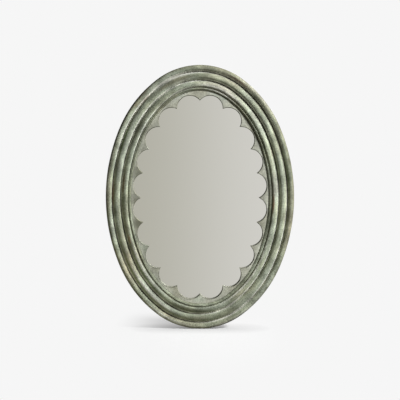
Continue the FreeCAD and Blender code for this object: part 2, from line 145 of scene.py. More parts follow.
class Graph:
    """A node tree under construction, with short calls for the nodes used here."""

    def __init__(self, tree: bpy.types.NodeTree) -> None:
        """Keeps the tree that the nodes go into."""
        self.tree = tree

    def feed(self, node: bpy.types.Node, inputs: dict) -> None:
        """Links values into a node, or sets them.

        Args:
            node: The node.
            inputs: Sockets or values by input name or number.
        """
        for key, value in inputs.items():
            if isinstance(value, bpy.types.NodeSocket):
                self.tree.links.new(value, node.inputs[key])
            else:
                node.inputs[key].default_value = value

    def add(self, kind: str, inputs: dict | None = None, **settings: object) -> bpy.types.Node:
        """Adds a node.

        Args:
            kind: Blender's name for the node type.
            inputs: Sockets or values by input name or number.
            settings: The node's own properties.

        Returns:
            The new node.
        """
        node = self.tree.nodes.new(kind)
        for name, value in settings.items():
            setattr(node, name, value)
        self.feed(node, inputs or {})
        return node

    def math(self, operation: str, *values: object) -> Socket:
        """Result of one arithmetic step."""
        return self.add("ShaderNodeMath", dict(enumerate(values)), operation=operation).outputs[0]

    def times(self, first: object, second: object) -> Socket:
        """Product of two values."""
        return self.math("MULTIPLY", first, second)

    def plus(self, first: object, second: object) -> Socket:
        """Sum of two values."""
        return self.math("ADD", first, second)

    def minus(self, first: object, second: object) -> Socket:
        """Difference of two values."""
        return self.math("SUBTRACT", first, second)

    def vector_math(self, operation: str, *values: object) -> Socket:
        """Result of one arithmetic step on vectors."""
        return self.add("ShaderNodeVectorMath", dict(enumerate(values)), operation=operation).outputs[0]

    def length(self, vector: Socket) -> Socket:
        """Length of a vector."""
        return self.add("ShaderNodeVectorMath", {0: vector}, operation="LENGTH").outputs["Value"]

    def vector(self, x: object, y: object, z: object) -> Socket:
        """A vector from its three parts."""
        return self.add("ShaderNodeCombineXYZ", {0: x, 1: y, 2: z}).outputs[0]

    def parts(self, vector: Socket) -> list[Socket]:
        """The three parts of a vector."""
        return list(self.add("ShaderNodeSeparateXYZ", {0: vector}).outputs)

    def place(self) -> Socket:
        """Place of the shaded point in its piece."""
        return self.add("ShaderNodeTexCoord").outputs["Object"]

    def stretch(self, vector: Socket, scale: Triple) -> Socket:
        """A vector scaled along its axes."""
        return self.vector_math("MULTIPLY", vector, scale)

    def noise(self, vector: Socket, noise: Noise) -> Socket:
        """Noise from 0 to 1."""
        layers = {"Scale": noise.scale, "Detail": noise.detail, "Roughness": noise.roughness}
        return self.add("ShaderNodeTexNoise", {"Vector": vector, **layers}).outputs[0]

    def between(self, value: Socket, low: float, high: float, start: float = 0.0, end: float = 1.0) -> Socket:
        """Smooth step of a value from start to end as it goes from low to high."""
        inputs = {"Value": value, "From Min": low, "From Max": high, "To Min": start, "To Max": end}
        return self.add("ShaderNodeMapRange", inputs, interpolation_type="SMOOTHSTEP").outputs[0]

    def mix(self, factor: object, first: object, second: object, blend: str = "MIX") -> Socket:
        """Blend of two colours, whose sockets have the numbers 6 and 7."""
        inputs = {0: factor, 6: first, 7: second}
        return self.add("ShaderNodeMix", inputs, data_type="RGBA", blend_type=blend).outputs[2]

    def ramp(self, factor: Socket, stops: Sequence[tuple[float, Colour]]) -> Socket:
        """Colour from a ramp.

        Args:
            factor: Where on the ramp, from 0 to 1.
            stops: Place and colour of each stop.

        Returns:
            The colour there.
        """
        node = self.add("ShaderNodeValToRGB", {0: factor})
        elements = node.color_ramp.elements
        while len(elements) < len(stops):
            elements.new(0.5)
        for element, (place, colour) in zip(elements, stops):
            element.position = place
            element.color = colour
        return node.outputs[0]

    def attribute(self, name: Attribute, output: str) -> Socket:
        """A value that the mesh carries."""
        return self.add("ShaderNodeAttribute", attribute_name=name.value).outputs[output]

    def bump(self, height: Socket, distance: float, strength: float) -> Socket:
        """Normal bent by a height."""
        inputs = {"Strength": strength, "Distance": distance, "Height": height}
        return self.add("ShaderNodeBump", inputs).outputs[0]


def shader(name: str) -> tuple[bpy.types.Material, Graph, bpy.types.Node]:
    """Starts a material.

    Args:
        name: The material's name.

    Returns:
        The material, its graph and its principled shader.
    """
    material = bpy.data.materials.new(name)
    material.use_nodes = True
    material.node_tree.nodes.clear()
    graph = Graph(material.node_tree)
    principled = graph.add("ShaderNodeBsdfPrincipled")
    graph.add("ShaderNodeOutputMaterial", {"Surface": principled.outputs[0]})
    return material, graph, principled


class Mark(Enum):
    """What a stain on the paint is, by its colour; wax and chalk also paint shadow and light."""

    RUBBED = shade(112, 86, 66)
    MOSS = shade(128, 146, 110)
    CHALK = shade(214, 214, 205)
    SOIL = shade(96, 96, 76)
    WAX = shade(56, 52, 38)


@dataclass(frozen=True)
class Stain:
    """One stain, drawn out along the moulding on the frame and round on the slip.

    Its angle is in degrees. Its width is measured across the moulding, or into the slip. Its depth is how far
    it hides the paint, from 0 to 1.
    """

    mark: Mark
    angle: float
    offset: float
    length: float
    width: float
    depth: float


@dataclass(frozen=True)
class Patina:
    """Rubbed chalk paint over carved hardwood: pale in grooves, worn on crowns and soiled on open edges.

    The paint follows the mesh's tone: waxed at 0, chalky above it, plain at 1 and soiled above 1, which on the
    slip also takes in painted shadow along one stretch of the sight edge. Below 0 the wood is raw.
    """

    name: str
    hues: tuple[Colour, ...]
    chalk: Colour = shade(198, 198, 189)
    soil_and_shadow: Colour = shade(92, 90, 70)
    wax: Colour = shade(48, 44, 31)
    bare: Colour = shade(98, 74, 54)
    wood_light: Colour = shade(150, 112, 76)
    wood_dark: Colour = shade(96, 66, 42)

    drawn: float = 0.35
    streaked: float = 0.14
    brush_drawn: float = 0.18
    grain_drawn: Triple = (9.0, 160.0, 160.0)
    drift: Noise = Noise(15.0, 3.0, 0.55)
    mottle: Noise = Noise(150.0, 5.0, 0.68)
    brushed: Noise = Noise(620.0)
    grit: Noise = Noise(290.0, 3.0, 0.7)
    patch: Noise = Noise(42.0, 3.0, 0.6)
    cloud: Noise = Noise(24.0, 3.0, 0.55)
    rub: Noise = Noise(12.0, 4.0, 0.6)
    grain: Noise = Noise(1.0, 6.0, 0.62)

    hue_start: float = 0.28
    hue_span: float = 0.44
    chalk_share: float = 1.0
    chalk_reach: float = 0.65
    chalk_break: Fade = (0.32, 0.6, 0.6, 1.0)
    wax_share: float = 0.9
    wax_reach: float = 0.2
    wax_break: Fade = (0.3, 0.5)
    soil_and_shadow_share: float = 0.85
    soil_and_shadow_fade: Fade = (1.0, 1.5)
    soil_and_shadow_break: Fade = (0.25, 0.7, 0.85, 1.0)
    stain_core: float = 0.25
    stain_break: Fade = (0.3, 0.55, 0.75, 1.0)
    depth_fade: Fade = (0.3, 0.7)
    cloud_depth: float = 0.28
    mottle_depth: float = 0.2
    grit_depth: float = 0.42
    spot_share: float = 0.6
    spot_fade: Fade = (0.6, 0.7)
    spot_break: Fade = (0.42, 0.6)
    worn_share: float = 0.75
    worn_fade: Fade = (0.65, 0.77)
    worn_break: Fade = (0.3, 0.6, 0.2, 1.0)
    bare_share: float = 0.5
    grain_fade: Fade = (0.35, 0.65)
    raw_ragged: float = 0.9
    raw_fade: Fade = (-0.45, -0.15, 1.0, 0.0)

    gloss: float = 0.04
    rough_fade: Fade = (0.3, 0.7, 0.5, 0.7)
    raw_rough: float = 0.16
    mottle_relief: float = 0.7
    brushed_relief: float = 0.3
    worn_relief: float = 0.5
    grain_relief: float = 0.6
    bump_height: float = 0.0006
    bump_strength: float = 0.16

    def material(self, stains: Sequence[tuple[Stain, Vector]]) -> bpy.types.Material:
        """Builds the material.

        Args:
            stains: Stains, each with its middle in the mesh's flow values, the later over the earlier.

        Returns:
            A material that reads the mesh's tone, flow and plank values.
        """
        material, g, principled = shader(self.name)
        tone = g.attribute(Attribute.TONE, "Fac")
        flow = g.attribute(Attribute.FLOW, "Vector")
        plank = g.attribute(Attribute.PLANK, "Vector")
        place = g.place()

        drawn = g.stretch(flow, (self.drawn, self.drawn, 1.0))
        drift = g.noise(drawn, self.drift)
        mottle = g.noise(g.stretch(flow, (self.streaked, self.streaked, 1.0)), self.mottle)
        brushed = g.noise(g.stretch(drawn, (self.brush_drawn, self.brush_drawn, 1.0)), self.brushed)
        grit = g.noise(place, self.grit)
        patch = g.noise(place, self.patch)
        cloud = g.noise(place, self.cloud)
        rub = g.noise(drawn, self.rub)

        step = 1.0 / (len(self.hues) - 1)
        stops = [(self.hue_start + self.hue_span * step * i, hue) for i, hue in enumerate(self.hues)]
        paint = g.ramp(drift, stops)
        recess = g.between(tone, self.wax_reach, self.chalk_reach, 1.0, 0.0)
        chalky = g.times(recess, g.between(mottle, *self.chalk_break))
        paint = g.mix(g.times(chalky, self.chalk_share), paint, self.chalk)
        gathered = g.times(g.between(tone, 0.0, self.wax_reach, 1.0, 0.0), g.between(mottle, *self.wax_break))
        paint = g.mix(g.times(gathered, self.wax_share), paint, self.wax)
        # Soiled above tone 1; on the slip this also paints the frame's shadow along one stretch of the sight edge.
        soiled = g.times(g.between(tone, *self.soil_and_shadow_fade), g.between(patch, *self.soil_and_shadow_break))
        paint = g.mix(g.times(soiled, self.soil_and_shadow_share), paint, self.soil_and_shadow)
        for stain, middle in stains:
            away = g.vector_math("SUBTRACT", flow, middle)
            away = g.stretch(away, (2 / stain.length, 2 / stain.length, 2 / stain.width))
            faded = g.between(g.length(away), self.stain_core, 1.0, stain.depth, 0.0)
            cover = g.times(faded, g.between(mottle, *self.stain_break))
            paint = g.mix(cover, paint, stain.mark.value)
        for noise, depth in ((cloud, self.cloud_depth), (mottle, self.mottle_depth), (grit, self.grit_depth)):
            uneven = g.between(noise, *self.depth_fade, 1.0 - depth, 1.0 + depth)
            paint = g.mix(1.0, paint, uneven, "MULTIPLY")
        spots = g.times(g.between(grit, *self.spot_fade), g.between(patch, *self.spot_break))
        paint = g.mix(g.times(spots, self.spot_share), paint, self.wax)

        grain = g.noise(g.stretch(plank, self.grain_drawn), self.grain)
        wood = g.mix(g.between(grain, *self.grain_fade), self.wood_dark, self.wood_light)
        worn = g.times(g.between(rub, *self.worn_fade), g.between(mottle, *self.worn_break))
        paint = g.mix(g.times(worn, self.worn_share), paint, g.mix(self.bare_share, wood, self.bare))
        ragged = g.plus(tone, g.times(g.minus(patch, Noise.MIDDLE), self.raw_ragged))
        raw = g.between(ragged, *self.raw_fade)

        relief = g.plus(g.times(mottle, self.mottle_relief), g.times(brushed, self.brushed_relief))
        relief = g.minus(relief, g.times(worn, self.worn_relief))
        relief = g.plus(relief, g.times(g.times(grain, raw), self.grain_relief))
        looks = {
            "Base Color": g.mix(raw, paint, wood),
            "Roughness": g.plus(g.between(mottle, *self.rough_fade), g.times(raw, self.raw_rough)),
            "Specular IOR Level": self.gloss,
            "Normal": g.bump(relief, self.bump_height, self.bump_strength),
        }
        g.feed(principled, looks)
        return material


@dataclass(frozen=True)
class SilveredGlass:
    """Silvered mirror glass, faintly grey, with a trace of cloth marks."""

    tint: Colour = (0.87, 0.875, 0.85, 1.0)
    wiped: Triple = (5.0, 5.0, 14.0)
    smear: Noise = Noise(1.0, 4.0, 0.6)
    rough_fade: Fade = (0.4, 0.75, 0.012, 0.03)

    def material(self) -> bpy.types.Material:
        """Builds the material.

        Returns:
            A material on the piece's own place.
        """
        material, g, principled = shader("silvered_glass")
        smear = g.noise(g.stretch(g.place(), self.wiped), self.smear)
        rough = g.between(smear, *self.rough_fade)
        g.feed(principled, {"Metallic": 1.0, "Base Color": self.tint, "Roughness": rough})
        return material


@dataclass(frozen=True)
class Hardboard:
    """Pressed brown fibre board with its matted fibres and a few pale flecks."""

    dark: Colour = shade(92, 62, 38)
    light: Colour = shade(132, 94, 60)
    fleck: Colour = shade(176, 140, 98)
    fibres_up: Triple = (900.0, 900.0, 260.0)
    fibres_across: Triple = (260.0, 900.0, 900.0)
    fibre: Noise = Noise(1.0, 4.0, 0.65)
    cloud: Noise = Noise(7.0, 4.0, 0.6)
    speck: Noise = Noise(520.0, 1.0)
    cloud_share: float = 0.5
    board_fade: Fade = (0.55, 0.95)
    fleck_share: float = 0.6
    fleck_fade: Fade = (0.7, 0.78)
    rough_fade: Fade = (0.35, 0.65, 0.6, 0.82)
    bump_height: float = 0.0003
    bump_strength: float = 0.5

    def material(self) -> bpy.types.Material:
        """Builds the material.

        Returns:
            A material on the piece's own place.
        """
        material, g, principled = shader("hardboard")
        place = g.place()
        upright = g.noise(g.stretch(place, self.fibres_up), self.fibre)
        across = g.noise(g.stretch(place, self.fibres_across), self.fibre)
        matted = g.times(g.plus(upright, across), 0.5)
        clouded = g.plus(matted, g.times(g.noise(place, self.cloud), self.cloud_share))
        board = g.mix(g.between(clouded, *self.board_fade), self.dark, self.light)
        flecks = g.between(g.noise(place, self.speck), *self.fleck_fade)
        looks = {
            "Base Color": g.mix(g.times(flecks, self.fleck_share), board, self.fleck),
            "Roughness": g.between(matted, *self.rough_fade),
            "Normal": g.bump(matted, self.bump_height, self.bump_strength),
        }
        g.feed(principled, looks)
        return material


@dataclass(frozen=True)
class PlatedMetal:
    """Plated or solid metal with handling marks and a tarnish that gathers in patches."""

    name: str
    bright: Colour
    tarnish: Colour
    polish: float
    dull: float
    tarnish_share: float = 0.5
    patch: Noise = Noise(190.0, 4.0, 0.6)
    scratch: Noise = Noise(1.0)
    scratched: Triple = (2600.0, 2600.0, 240.0)
    tarnish_fade: Fade = (0.42, 0.68)
    dull_fade: Fade = (0.35, 0.7)
    scratch_rough: float = 0.06
    bump_height: float = 0.00005
    bump_strength: float = 0.25

    def material(self) -> bpy.types.Material:
        """Builds the material.

        Returns:
            A material on the piece's own place.
        """
        material, g, principled = shader(self.name)
        place = g.place()
        patch = g.noise(place, self.patch)
        scratch = g.noise(g.stretch(place, self.scratched), self.scratch)
        dark = g.times(g.between(patch, *self.tarnish_fade), self.tarnish_share)
        rough = g.between(patch, *self.dull_fade, self.polish, self.dull)
        looks = {
            "Metallic": 1.0,
            "Base Color": g.mix(dark, self.bright, self.tarnish),
            "Roughness": g.plus(rough, g.times(scratch, self.scratch_rough)),
            "Normal": g.bump(scratch, self.bump_height, self.bump_strength),
        }
        g.feed(principled, looks)
        return material


@dataclass(frozen=True)
class PlainTimber:
    """Unfinished straight-grained timber of the hidden dowels."""

    light: Colour = shade(206, 170, 126)
    dark: Colour = shade(168, 126, 84)
    grain: Noise = Noise(700.0, 5.0, 0.6)
    grain_fade: Fade = (0.35, 0.65)
    rough: float = 0.7
    bump_height: float = 0.0002
    bump_strength: float = 0.4

    def material(self) -> bpy.types.Material:
        """Builds the material.

        Returns:
            A material on the piece's own place.
        """
        material, g, principled = shader("dowel_beech")
        grain = g.noise(g.place(), self.grain)
        looks = {
            "Base Color": g.mix(g.between(grain, *self.grain_fade), self.dark, self.light),
            "Roughness": self.rough,
            "Normal": g.bump(grain, self.bump_height, self.bump_strength),
        }
        g.feed(principled, looks)
        return material


@dataclass(frozen=True)
class Rubber:
    """Moulded black rubber with a fine matt skin and a little bloom."""

    black: Colour = shade(34, 34, 35)
    bloom: Colour = shade(64, 63, 61)
    skin: Noise = Noise(2400.0)
    cloud: Noise = Noise(160.0, 3.0)
    bloom_fade: Fade = (0.4, 0.8)
    rough_fade: Fade = (0.3, 0.7, 0.6, 0.8)
    bump_height: float = 0.0001
    bump_strength: float = 0.4

    def material(self) -> bpy.types.Material:
        """Builds the material.

        Returns:
            A material on the piece's own place.
        """
        material, g, principled = shader("bumper_rubber")
        place = g.place()
        skin = g.noise(place, self.skin)
        bloomed = g.between(g.noise(place, self.cloud), *self.bloom_fade)
        looks = {
            "Base Color": g.mix(bloomed, self.black, self.bloom),
            "Roughness": g.between(skin, *self.rough_fade),
            "Normal": g.bump(skin, self.bump_height, self.bump_strength),
        }
        g.feed(principled, looks)
        return material


@dataclass(frozen=True)
class Arc:
    """One tangent arc of the oval's outer edge."""

    name: str
    centre_x: float
    centre_z: float
    radius: float
    start: float
    end: float

    def at(self, angle: float, offset: float) -> Pair:
        """X and Z of the point at an angle and an offset."""
        reach = self.radius - offset
        return self.centre_x + reach * math.sin(angle), self.centre_z + reach * math.cos(angle)

    def middle(self) -> float:
        """The angle halfway along."""
        return (self.start + self.end) / 2

    def length(self, offset: float) -> float:
        """Length along an offset."""
        return (self.radius - offset) * (self.end - self.start)


@dataclass
class Oval:
    """Plan of the frame: eight tangent arcs, clockwise from the top, close to an ellipse."""

    width: float
    height: float
    end_span: float = math.radians(74.0)
    side_span: float = math.radians(46.0)
    arcs: list[Arc] = field(init=False)

    def __post_init__(self) -> None:
        """Works the arcs out from the width, the height and the spans."""
        half_width = self.width / 2
        half_height = self.height / 2
        end_angle = self.end_span / 2
        side_angle = TURN / 4 - self.side_span / 2
        sin_end, cos_end = math.sin(end_angle), math.cos(end_angle)
        sin_side, cos_side = math.sin(side_angle), math.cos(side_angle)

        def ellipse_point(sine: float, cosine: float) -> Vector:
            """Point of the ellipse whose normal has that sine and cosine."""
            support = math.hypot(half_width * sine, half_height * cosine)
            return Vector((half_width**2 * sine / support, half_height**2 * cosine / support))

        chord = (ellipse_point(sin_side, cos_side) - ellipse_point(sin_end, cos_end)).length
        shoulder = chord / (2 * math.sin((side_angle - end_angle) / 2))
        across = half_width - shoulder * (sin_side - sin_end)
        upright = half_height - shoulder * (cos_end - cos_side)
        determinant = sin_end * cos_side - (1 - sin_side) * (1 - cos_end)
        end = (across * cos_side - (1 - sin_side) * upright) / determinant
        side = (sin_end * upright - (1 - cos_end) * across) / determinant
        end_z = half_height - end
        side_x = half_width - side
        x = (end - shoulder) * sin_end
        z = end_z + (end - shoulder) * cos_end
        half = TURN / 2
        self.arcs = [
            Arc("top", 0, end_z, end, -end_angle, end_angle),
            Arc("upper_right", x, z, shoulder, end_angle, side_angle),
            Arc("right", side_x, 0, side, side_angle, half - side_angle),
            Arc("lower_right", x, -z, shoulder, half - side_angle, half - end_angle),
            Arc("bottom", 0, -end_z, end, half - end_angle, half + end_angle),
            Arc("lower_left", -x, -z, shoulder, half + end_angle, half + side_angle),
            Arc("left", -side_x, 0, side, half + side_angle, TURN - side_angle),
            Arc("upper_left", -x, z, shoulder, TURN - side_angle, TURN - end_angle),
        ]

    def length(self, offset: float) -> float:
        """Length right round at an offset."""
        return sum(arc.length(offset) for arc in self.arcs)

    def along(self, share: float, walk: float, offset: float) -> Pair:
        """Finds a point by how far round it is.

        Args:
            share: Share of the way round, clockwise from the top.
            walk: Offset of the curve that the share is measured on.
            offset: Offset of the point.

        Returns:
            X and Z of the point.
        """
        left = (share * self.length(walk) + self.arcs[0].length(walk) / 2) % self.length(walk)
        for arc in self.arcs:
            if left <= arc.length(walk):
                break
            left -= arc.length(walk)
        return arc.at(arc.start + left / (arc.radius - walk), offset)

    def at(self, angle: float, offset: float) -> Pair:
        """X and Z of the point at an angle and an offset."""
        turn = (angle - self.arcs[0].start) % TURN + self.arcs[0].start
        return next(arc for arc in self.arcs if turn <= arc.end).at(turn, offset)

    def walked(self, angle: float, offset: float) -> float:
        """Way along an offset, from where the top arc starts to an angle.

        Args:
            angle: The angle, from 0 to a whole turn.
            offset: The offset.

        Returns:
            The length of the way.
        """
        turn = (angle - self.arcs[0].start) % TURN + self.arcs[0].start
        way = 0.0
        for arc in self.arcs:
            way += (arc.radius - offset) * (min(max(turn, arc.start), arc.end) - arc.start)
        return way

    def offset_of(self, x: float, z: float) -> float:
        """Measures how far inside the outer edge a point lies.

        Args:
            x: The point's X.
            z: Its Z.

        Returns:
            Its offset.
        """
        gaps = []
        for arc in self.arcs:
            angle = math.atan2(x - arc.centre_x, z - arc.centre_z)
            if any(arc.start <= angle + turn <= arc.end for turn in (0, TURN)):
                gaps.append(arc.radius - math.hypot(x - arc.centre_x, z - arc.centre_z))
        return min(gaps)


def new_object(name: str, mesh: bpy.types.Mesh) -> bpy.types.Object:
    """Puts a mesh into the scene as an object at the origin.

    Args:
        name: The object's name.
        mesh: Its mesh.

    Returns:
        The object.
    """
    piece = bpy.data.objects.new(name, mesh)
    bpy.context.scene.collection.objects.link(piece)
    return piece


def mesh_of(name: str, points: Iterable, edges: Sequence = (), faces: Sequence = ()) -> bpy.types.Mesh:
    """Makes a mesh from plain lists.

    Args:
        name: The mesh's name.
        points: Its points.
        edges: Pairs of point numbers.
        faces: Rings of point numbers.

    Returns:
        The mesh.
    """
    mesh = bpy.data.meshes.new(name)
    mesh.from_pydata([tuple(point) for point in points], list(edges), list(faces))
    mesh.update()
    return mesh


def steps_round(span: float, steps: int) -> list[float]:
    """Angles from 0 to a span, in equal steps."""
    return [span * index / steps for index in range(steps + 1)]


def band_faces(rings: int, size: int, closed: bool = False) -> list[tuple[int, ...]]:
    """Joins rings of points, one after the other, into bands of faces.

    Args:
        rings: Number of rings.
        size: Points in each.
        closed: Whether the last ring is joined to the first.

    Returns:
        Point numbers of each face.
    """
    faces = []
    for row in range(rings if closed else rings - 1):
        here = row * size
        there = (row + 1) % rings * size
        for index in range(size):
            after = (index + 1) % size
            faces.append((here + index, here + after, there + after, there + index))
    return faces


def settle(piece: bpy.types.Object) -> None:
    """Turns an object's modifiers into a plain mesh.

    Args:
        piece: The object.
    """
    depsgraph = bpy.context.evaluated_depsgraph_get()
    made = bpy.data.meshes.new_from_object(
        piece.evaluated_get(depsgraph), preserve_all_data_layers=True, depsgraph=depsgraph
    )
    made.name = piece.name
    piece.modifiers.clear()
    piece.data = made


def smooth(mesh: bpy.types.Mesh, sharp_angle: float = SHARP_ANGLE) -> None:
    """Shades a mesh smooth, but for its sharp edges.

    Args:
        mesh: The mesh.
        sharp_angle: An edge that turns by more than this stays sharp.
    """
    mesh.polygons.foreach_set("use_smooth", [True] * len(mesh.polygons))
    mesh.set_sharp_from_angle(angle=sharp_angle)
    mesh.update()


def tidy(mesh: bpy.types.Mesh, fill_ends: bool = False) -> None:
    """Merges doubles and points the faces outwards.

    Args:
        mesh: The mesh.
        fill_ends: Whether its open ends are closed.
    """
    made = bmesh.new()
    made.from_mesh(mesh)
    bmesh.ops.remove_doubles(made, verts=made.verts, dist=MERGE_DISTANCE)
    if fill_ends:
        bmesh.ops.holes_fill(made, edges=[edge for edge in made.edges if edge.is_boundary], sides=0)
    bmesh.ops.recalc_face_normals(made, faces=made.faces)
    made.to_mesh(mesh)
    made.free()


def store_vectors(mesh: bpy.types.Mesh, name: Attribute, rule: Callable[[Vector], Sequence[float]]) -> None:
    """Gives each point of a mesh a vector worked out from its place."""
    values = mesh.attributes.new(name.value, "FLOAT_VECTOR", "POINT")
    values.data.foreach_set("vector", [part for vertex in mesh.vertices for part in rule(vertex.co)])


def fit(piece: bpy.types.Object, body: str, slot: Slot, *nodes: str) -> None:
    """Rides a piece on a body, in place of CAD nodes.

    Args:
        piece: The finished piece.
        body: The body that it moves with.
        slot: The record's slot that its finish belongs to; not used.
        nodes: The CAD nodes that it stands for.
    """
    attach(piece, body)
    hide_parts(*nodes)
    LOG.info("%s: %d faces, rides on %s", piece.name, len(piece.data.polygons), body)


class NodeTree:
    """A geometry node tree with named inputs."""

    def __init__(self, name: str, inputs: dict[str, str]) -> None:
        """Starts the tree.

        Args:
            name: The tree's name.
            inputs: Socket types by input name, in order.
        """
        self.tree = bpy.data.node_groups.new(name, "GeometryNodeTree")
        self.keys = {}
        for label, kind in inputs.items():
            socket = self.tree.interface.new_socket(label, in_out="INPUT", socket_type="NodeSocket" + kind)
            self.keys[label] = socket.identifier
        self.tree.interface.new_socket("Mesh", in_out="OUTPUT", socket_type="NodeSocketGeometry")
        self.graph = Graph(self.tree)
        self.given = self.graph.add("NodeGroupInput").outputs

    def finish(self, mesh: Socket) -> None:
        """Ends the tree with smooth shading, plain geometry and the finish.

        Args:
            mesh: What the tree has made.
        """
        g = self.graph
        shaded = g.add("GeometryNodeSetShadeSmooth", {"Geometry": mesh}).outputs[0]
        plain = g.add("GeometryNodeRealizeInstances", {"Geometry": shaded}).outputs[0]
        dressed = g.add("GeometryNodeSetMaterial", {"Geometry": plain, "Material": self.given["Finish"]})
        g.add("NodeGroupOutput", {0: dressed.outputs[0]})

    def grow(self, name: str, source: bpy.types.Mesh, values: dict[str, object]) -> bpy.types.Object:
        """Runs the tree on a mesh.

        Args:
            name: Name of the piece.
            source: Mesh that goes into the tree.
            values: The other inputs by name.

        Returns:
            The piece, as a plain mesh.
        """
        piece = new_object(name, source)
        modifier = piece.modifiers.new("grow", "NODES")
        modifier.node_group = self.tree
        for label, value in values.items():
            modifier[self.keys[label]] = value
        settle(piece)
        return piece


class SweepTree(NodeTree):
    """Sweeps a section round one arc of the oval, with the small waves of hand work.

    The section is a mesh of points alone. X holds a point's offset, Y its height and Z its tone, which is 0
    in a groove, 1 on a crown and below 0 on bare wood.
    """

    WAVE = Noise(13.0, 1.0)
    NICK = Noise(95.0)
    WAVE_SHARE = 0.8
    NICK_SHARE = 0.2
    WORKED_FADE = (-0.2, 0.3)

    def __init__(self) -> None:
        """Builds the tree."""
        floats = ("Centre X", "Centre Z", "Radius", "Start", "End", "Back")
        paths = ("Path Start", "Path Length", "Path Offset", "Hand Depth")
        inputs = {"Section": "Geometry", **{name: "Float" for name in (*floats, *paths)}}
        super().__init__("moulding_sweep", {**inputs, "Steps": "Int", "Finish": "Material"})
        g = self.graph
        given = self.given
        domain = g.add("GeometryNodeAttributeDomainSize", {"Geometry": given["Section"]})
        count = domain.outputs["Point Count"]
        columns = g.plus(count, 1.0)
        grid = g.add("GeometryNodeMeshGrid", {"Vertices X": given["Steps"], "Vertices Y": columns})
        index = g.add("GeometryNodeInputIndex").outputs[0]
        row = g.math("FLOOR", g.math("DIVIDE", index, columns))
        column = g.math("MODULO", g.math("MODULO", index, columns), count)
        place = g.add("GeometryNodeInputPosition").outputs[0]
        inputs = {"Geometry": given["Section"], "Value": place, "Index": column}
        sample = g.add("GeometryNodeSampleIndex", inputs, data_type="FLOAT_VECTOR", domain="POINT")
        offset, height, tone = g.parts(sample.outputs[0])

        span = g.minus(given["End"], given["Start"])
        share = g.math("DIVIDE", row, g.minus(given["Steps"], 1.0))
        swung = g.times(span, share)
        angle = g.plus(given["Start"], swung)
        reach = g.minus(given["Radius"], offset)
        x = g.math("MULTIPLY_ADD", reach, g.math("SINE", angle), given["Centre X"])
        z = g.math("MULTIPLY_ADD", reach, g.math("COSINE", angle), given["Centre Z"])
        swept = g.vector(x, g.minus(given["Back"], height), z)

        path_radius = g.minus(given["Radius"], given["Path Offset"])
        walked = g.math("MULTIPLY_ADD", path_radius, swung, given["Path Start"])
        coil = g.math("DIVIDE", given["Path Length"], TURN)
        turned = g.math("DIVIDE", walked, coil)
        flow_x = g.times(coil, g.math("COSINE", turned))
        flow_y = g.times(coil, g.math("SINE", turned))
        flow = g.vector(flow_x, flow_y, offset)
        middle = g.math("MULTIPLY_ADD", span, 0.5, given["Start"])
        turned_back = {"Vector": swept, "Angle": g.times(middle, -1.0)}
        sawn = g.add("ShaderNodeVectorRotate", turned_back, rotation_type="Y_AXIS")
        plank = g.vector_math("ADD", sawn.outputs[0], g.vector(given["Path Start"], 0.0, 0.0))

        mesh = grid.outputs["Mesh"]
        values = {Attribute.TONE: tone, Attribute.FLOW: flow, Attribute.PLANK: plank}
        for name, value in values.items():
            kind = "FLOAT" if name is Attribute.TONE else "FLOAT_VECTOR"
            inputs = {"Geometry": mesh, "Name": name.value, "Value": value}
            store = g.add("GeometryNodeStoreNamedAttribute", inputs, data_type=kind, domain="POINT")
            mesh = store.outputs[0]
        mesh = g.add("GeometryNodeSetPosition", {"Geometry": mesh, "Position": swept}).outputs[0]
        mesh = g.add("GeometryNodeMergeByDistance", {"Geometry": mesh, "Distance": MERGE_DISTANCE}).outputs[0]
        mesh = g.add("GeometryNodeFlipFaces", {"Mesh": mesh}).outputs[0]

        here = g.add("GeometryNodeInputPosition").outputs[0]
        stored = {"Name": Attribute.TONE.value}
        toned = g.add("GeometryNodeInputNamedAttribute", stored, data_type="FLOAT").outputs[0]
        wave = g.times(g.noise(here, self.WAVE), self.WAVE_SHARE)
        hand = g.math("MULTIPLY_ADD", g.noise(here, self.NICK), self.NICK_SHARE, wave)
        worked = g.times(hand, g.between(toned, *self.WORKED_FADE))
        depth = g.times(worked, g.times(given["Hand Depth"], -1.0))
        normal = g.add("GeometryNodeInputNormal").outputs[0]
        shift = g.add("ShaderNodeVectorMath", {0: normal, "Scale": depth}, operation="SCALE").outputs[0]
        mesh = g.add("GeometryNodeSetPosition", {"Geometry": mesh, "Offset": shift}).outputs[0]
        self.finish(mesh)


class ScatterTree(NodeTree):
    """Sets one small template on every point of a mesh, each turned about its own axis by chance."""

    SEED = 7

    def __init__(self) -> None:
        """Builds the tree."""
        inputs = {"Seats": "Geometry", "Template": "Object", "Most Turn": "Float", "Finish": "Material"}
        super().__init__("scattered_fittings", inputs)
        g = self.graph
        template = g.add("GeometryNodeObjectInfo", {"Object": self.given["Template"]}).outputs["Geometry"]
        bounds = {2: 0.0, 3: self.given["Most Turn"], "Seed": self.SEED}
        chance = g.add("FunctionNodeRandomValue", bounds, data_type="FLOAT")
        spin = g.vector(0.0, chance.outputs[1], 0.0)
        turned = g.add("FunctionNodeEulerToRotation", {0: spin}).outputs[0]
        points = g.add("GeometryNodeMeshToPoints", {"Mesh": self.given["Seats"]}).outputs[0]
        inputs = {"Points": points, "Instance": template, "Rotation": turned}
        self.finish(g.add("GeometryNodeInstanceOnPoints", inputs).outputs[0])


class WireTree(NodeTree):
    """Sweeps a round wire along a closed path."""

    SIDES = 20

    def __init__(self) -> None:
        """Builds the tree."""
        super().__init__("bent_wire", {"Path": "Geometry", "Radius": "Float", "Finish": "Material"})
        g = self.graph
        line = g.add("GeometryNodeMeshToCurve", {"Mesh": self.given["Path"]}).outputs[0]
        round_wire = {"Resolution": self.SIDES, "Radius": self.given["Radius"]}
        ring = g.add("GeometryNodeCurvePrimitiveCircle", round_wire)
        wire = g.add("GeometryNodeCurveToMesh", {"Curve": line, "Profile Curve": ring.outputs[0]})
        self.finish(wire.outputs[0])


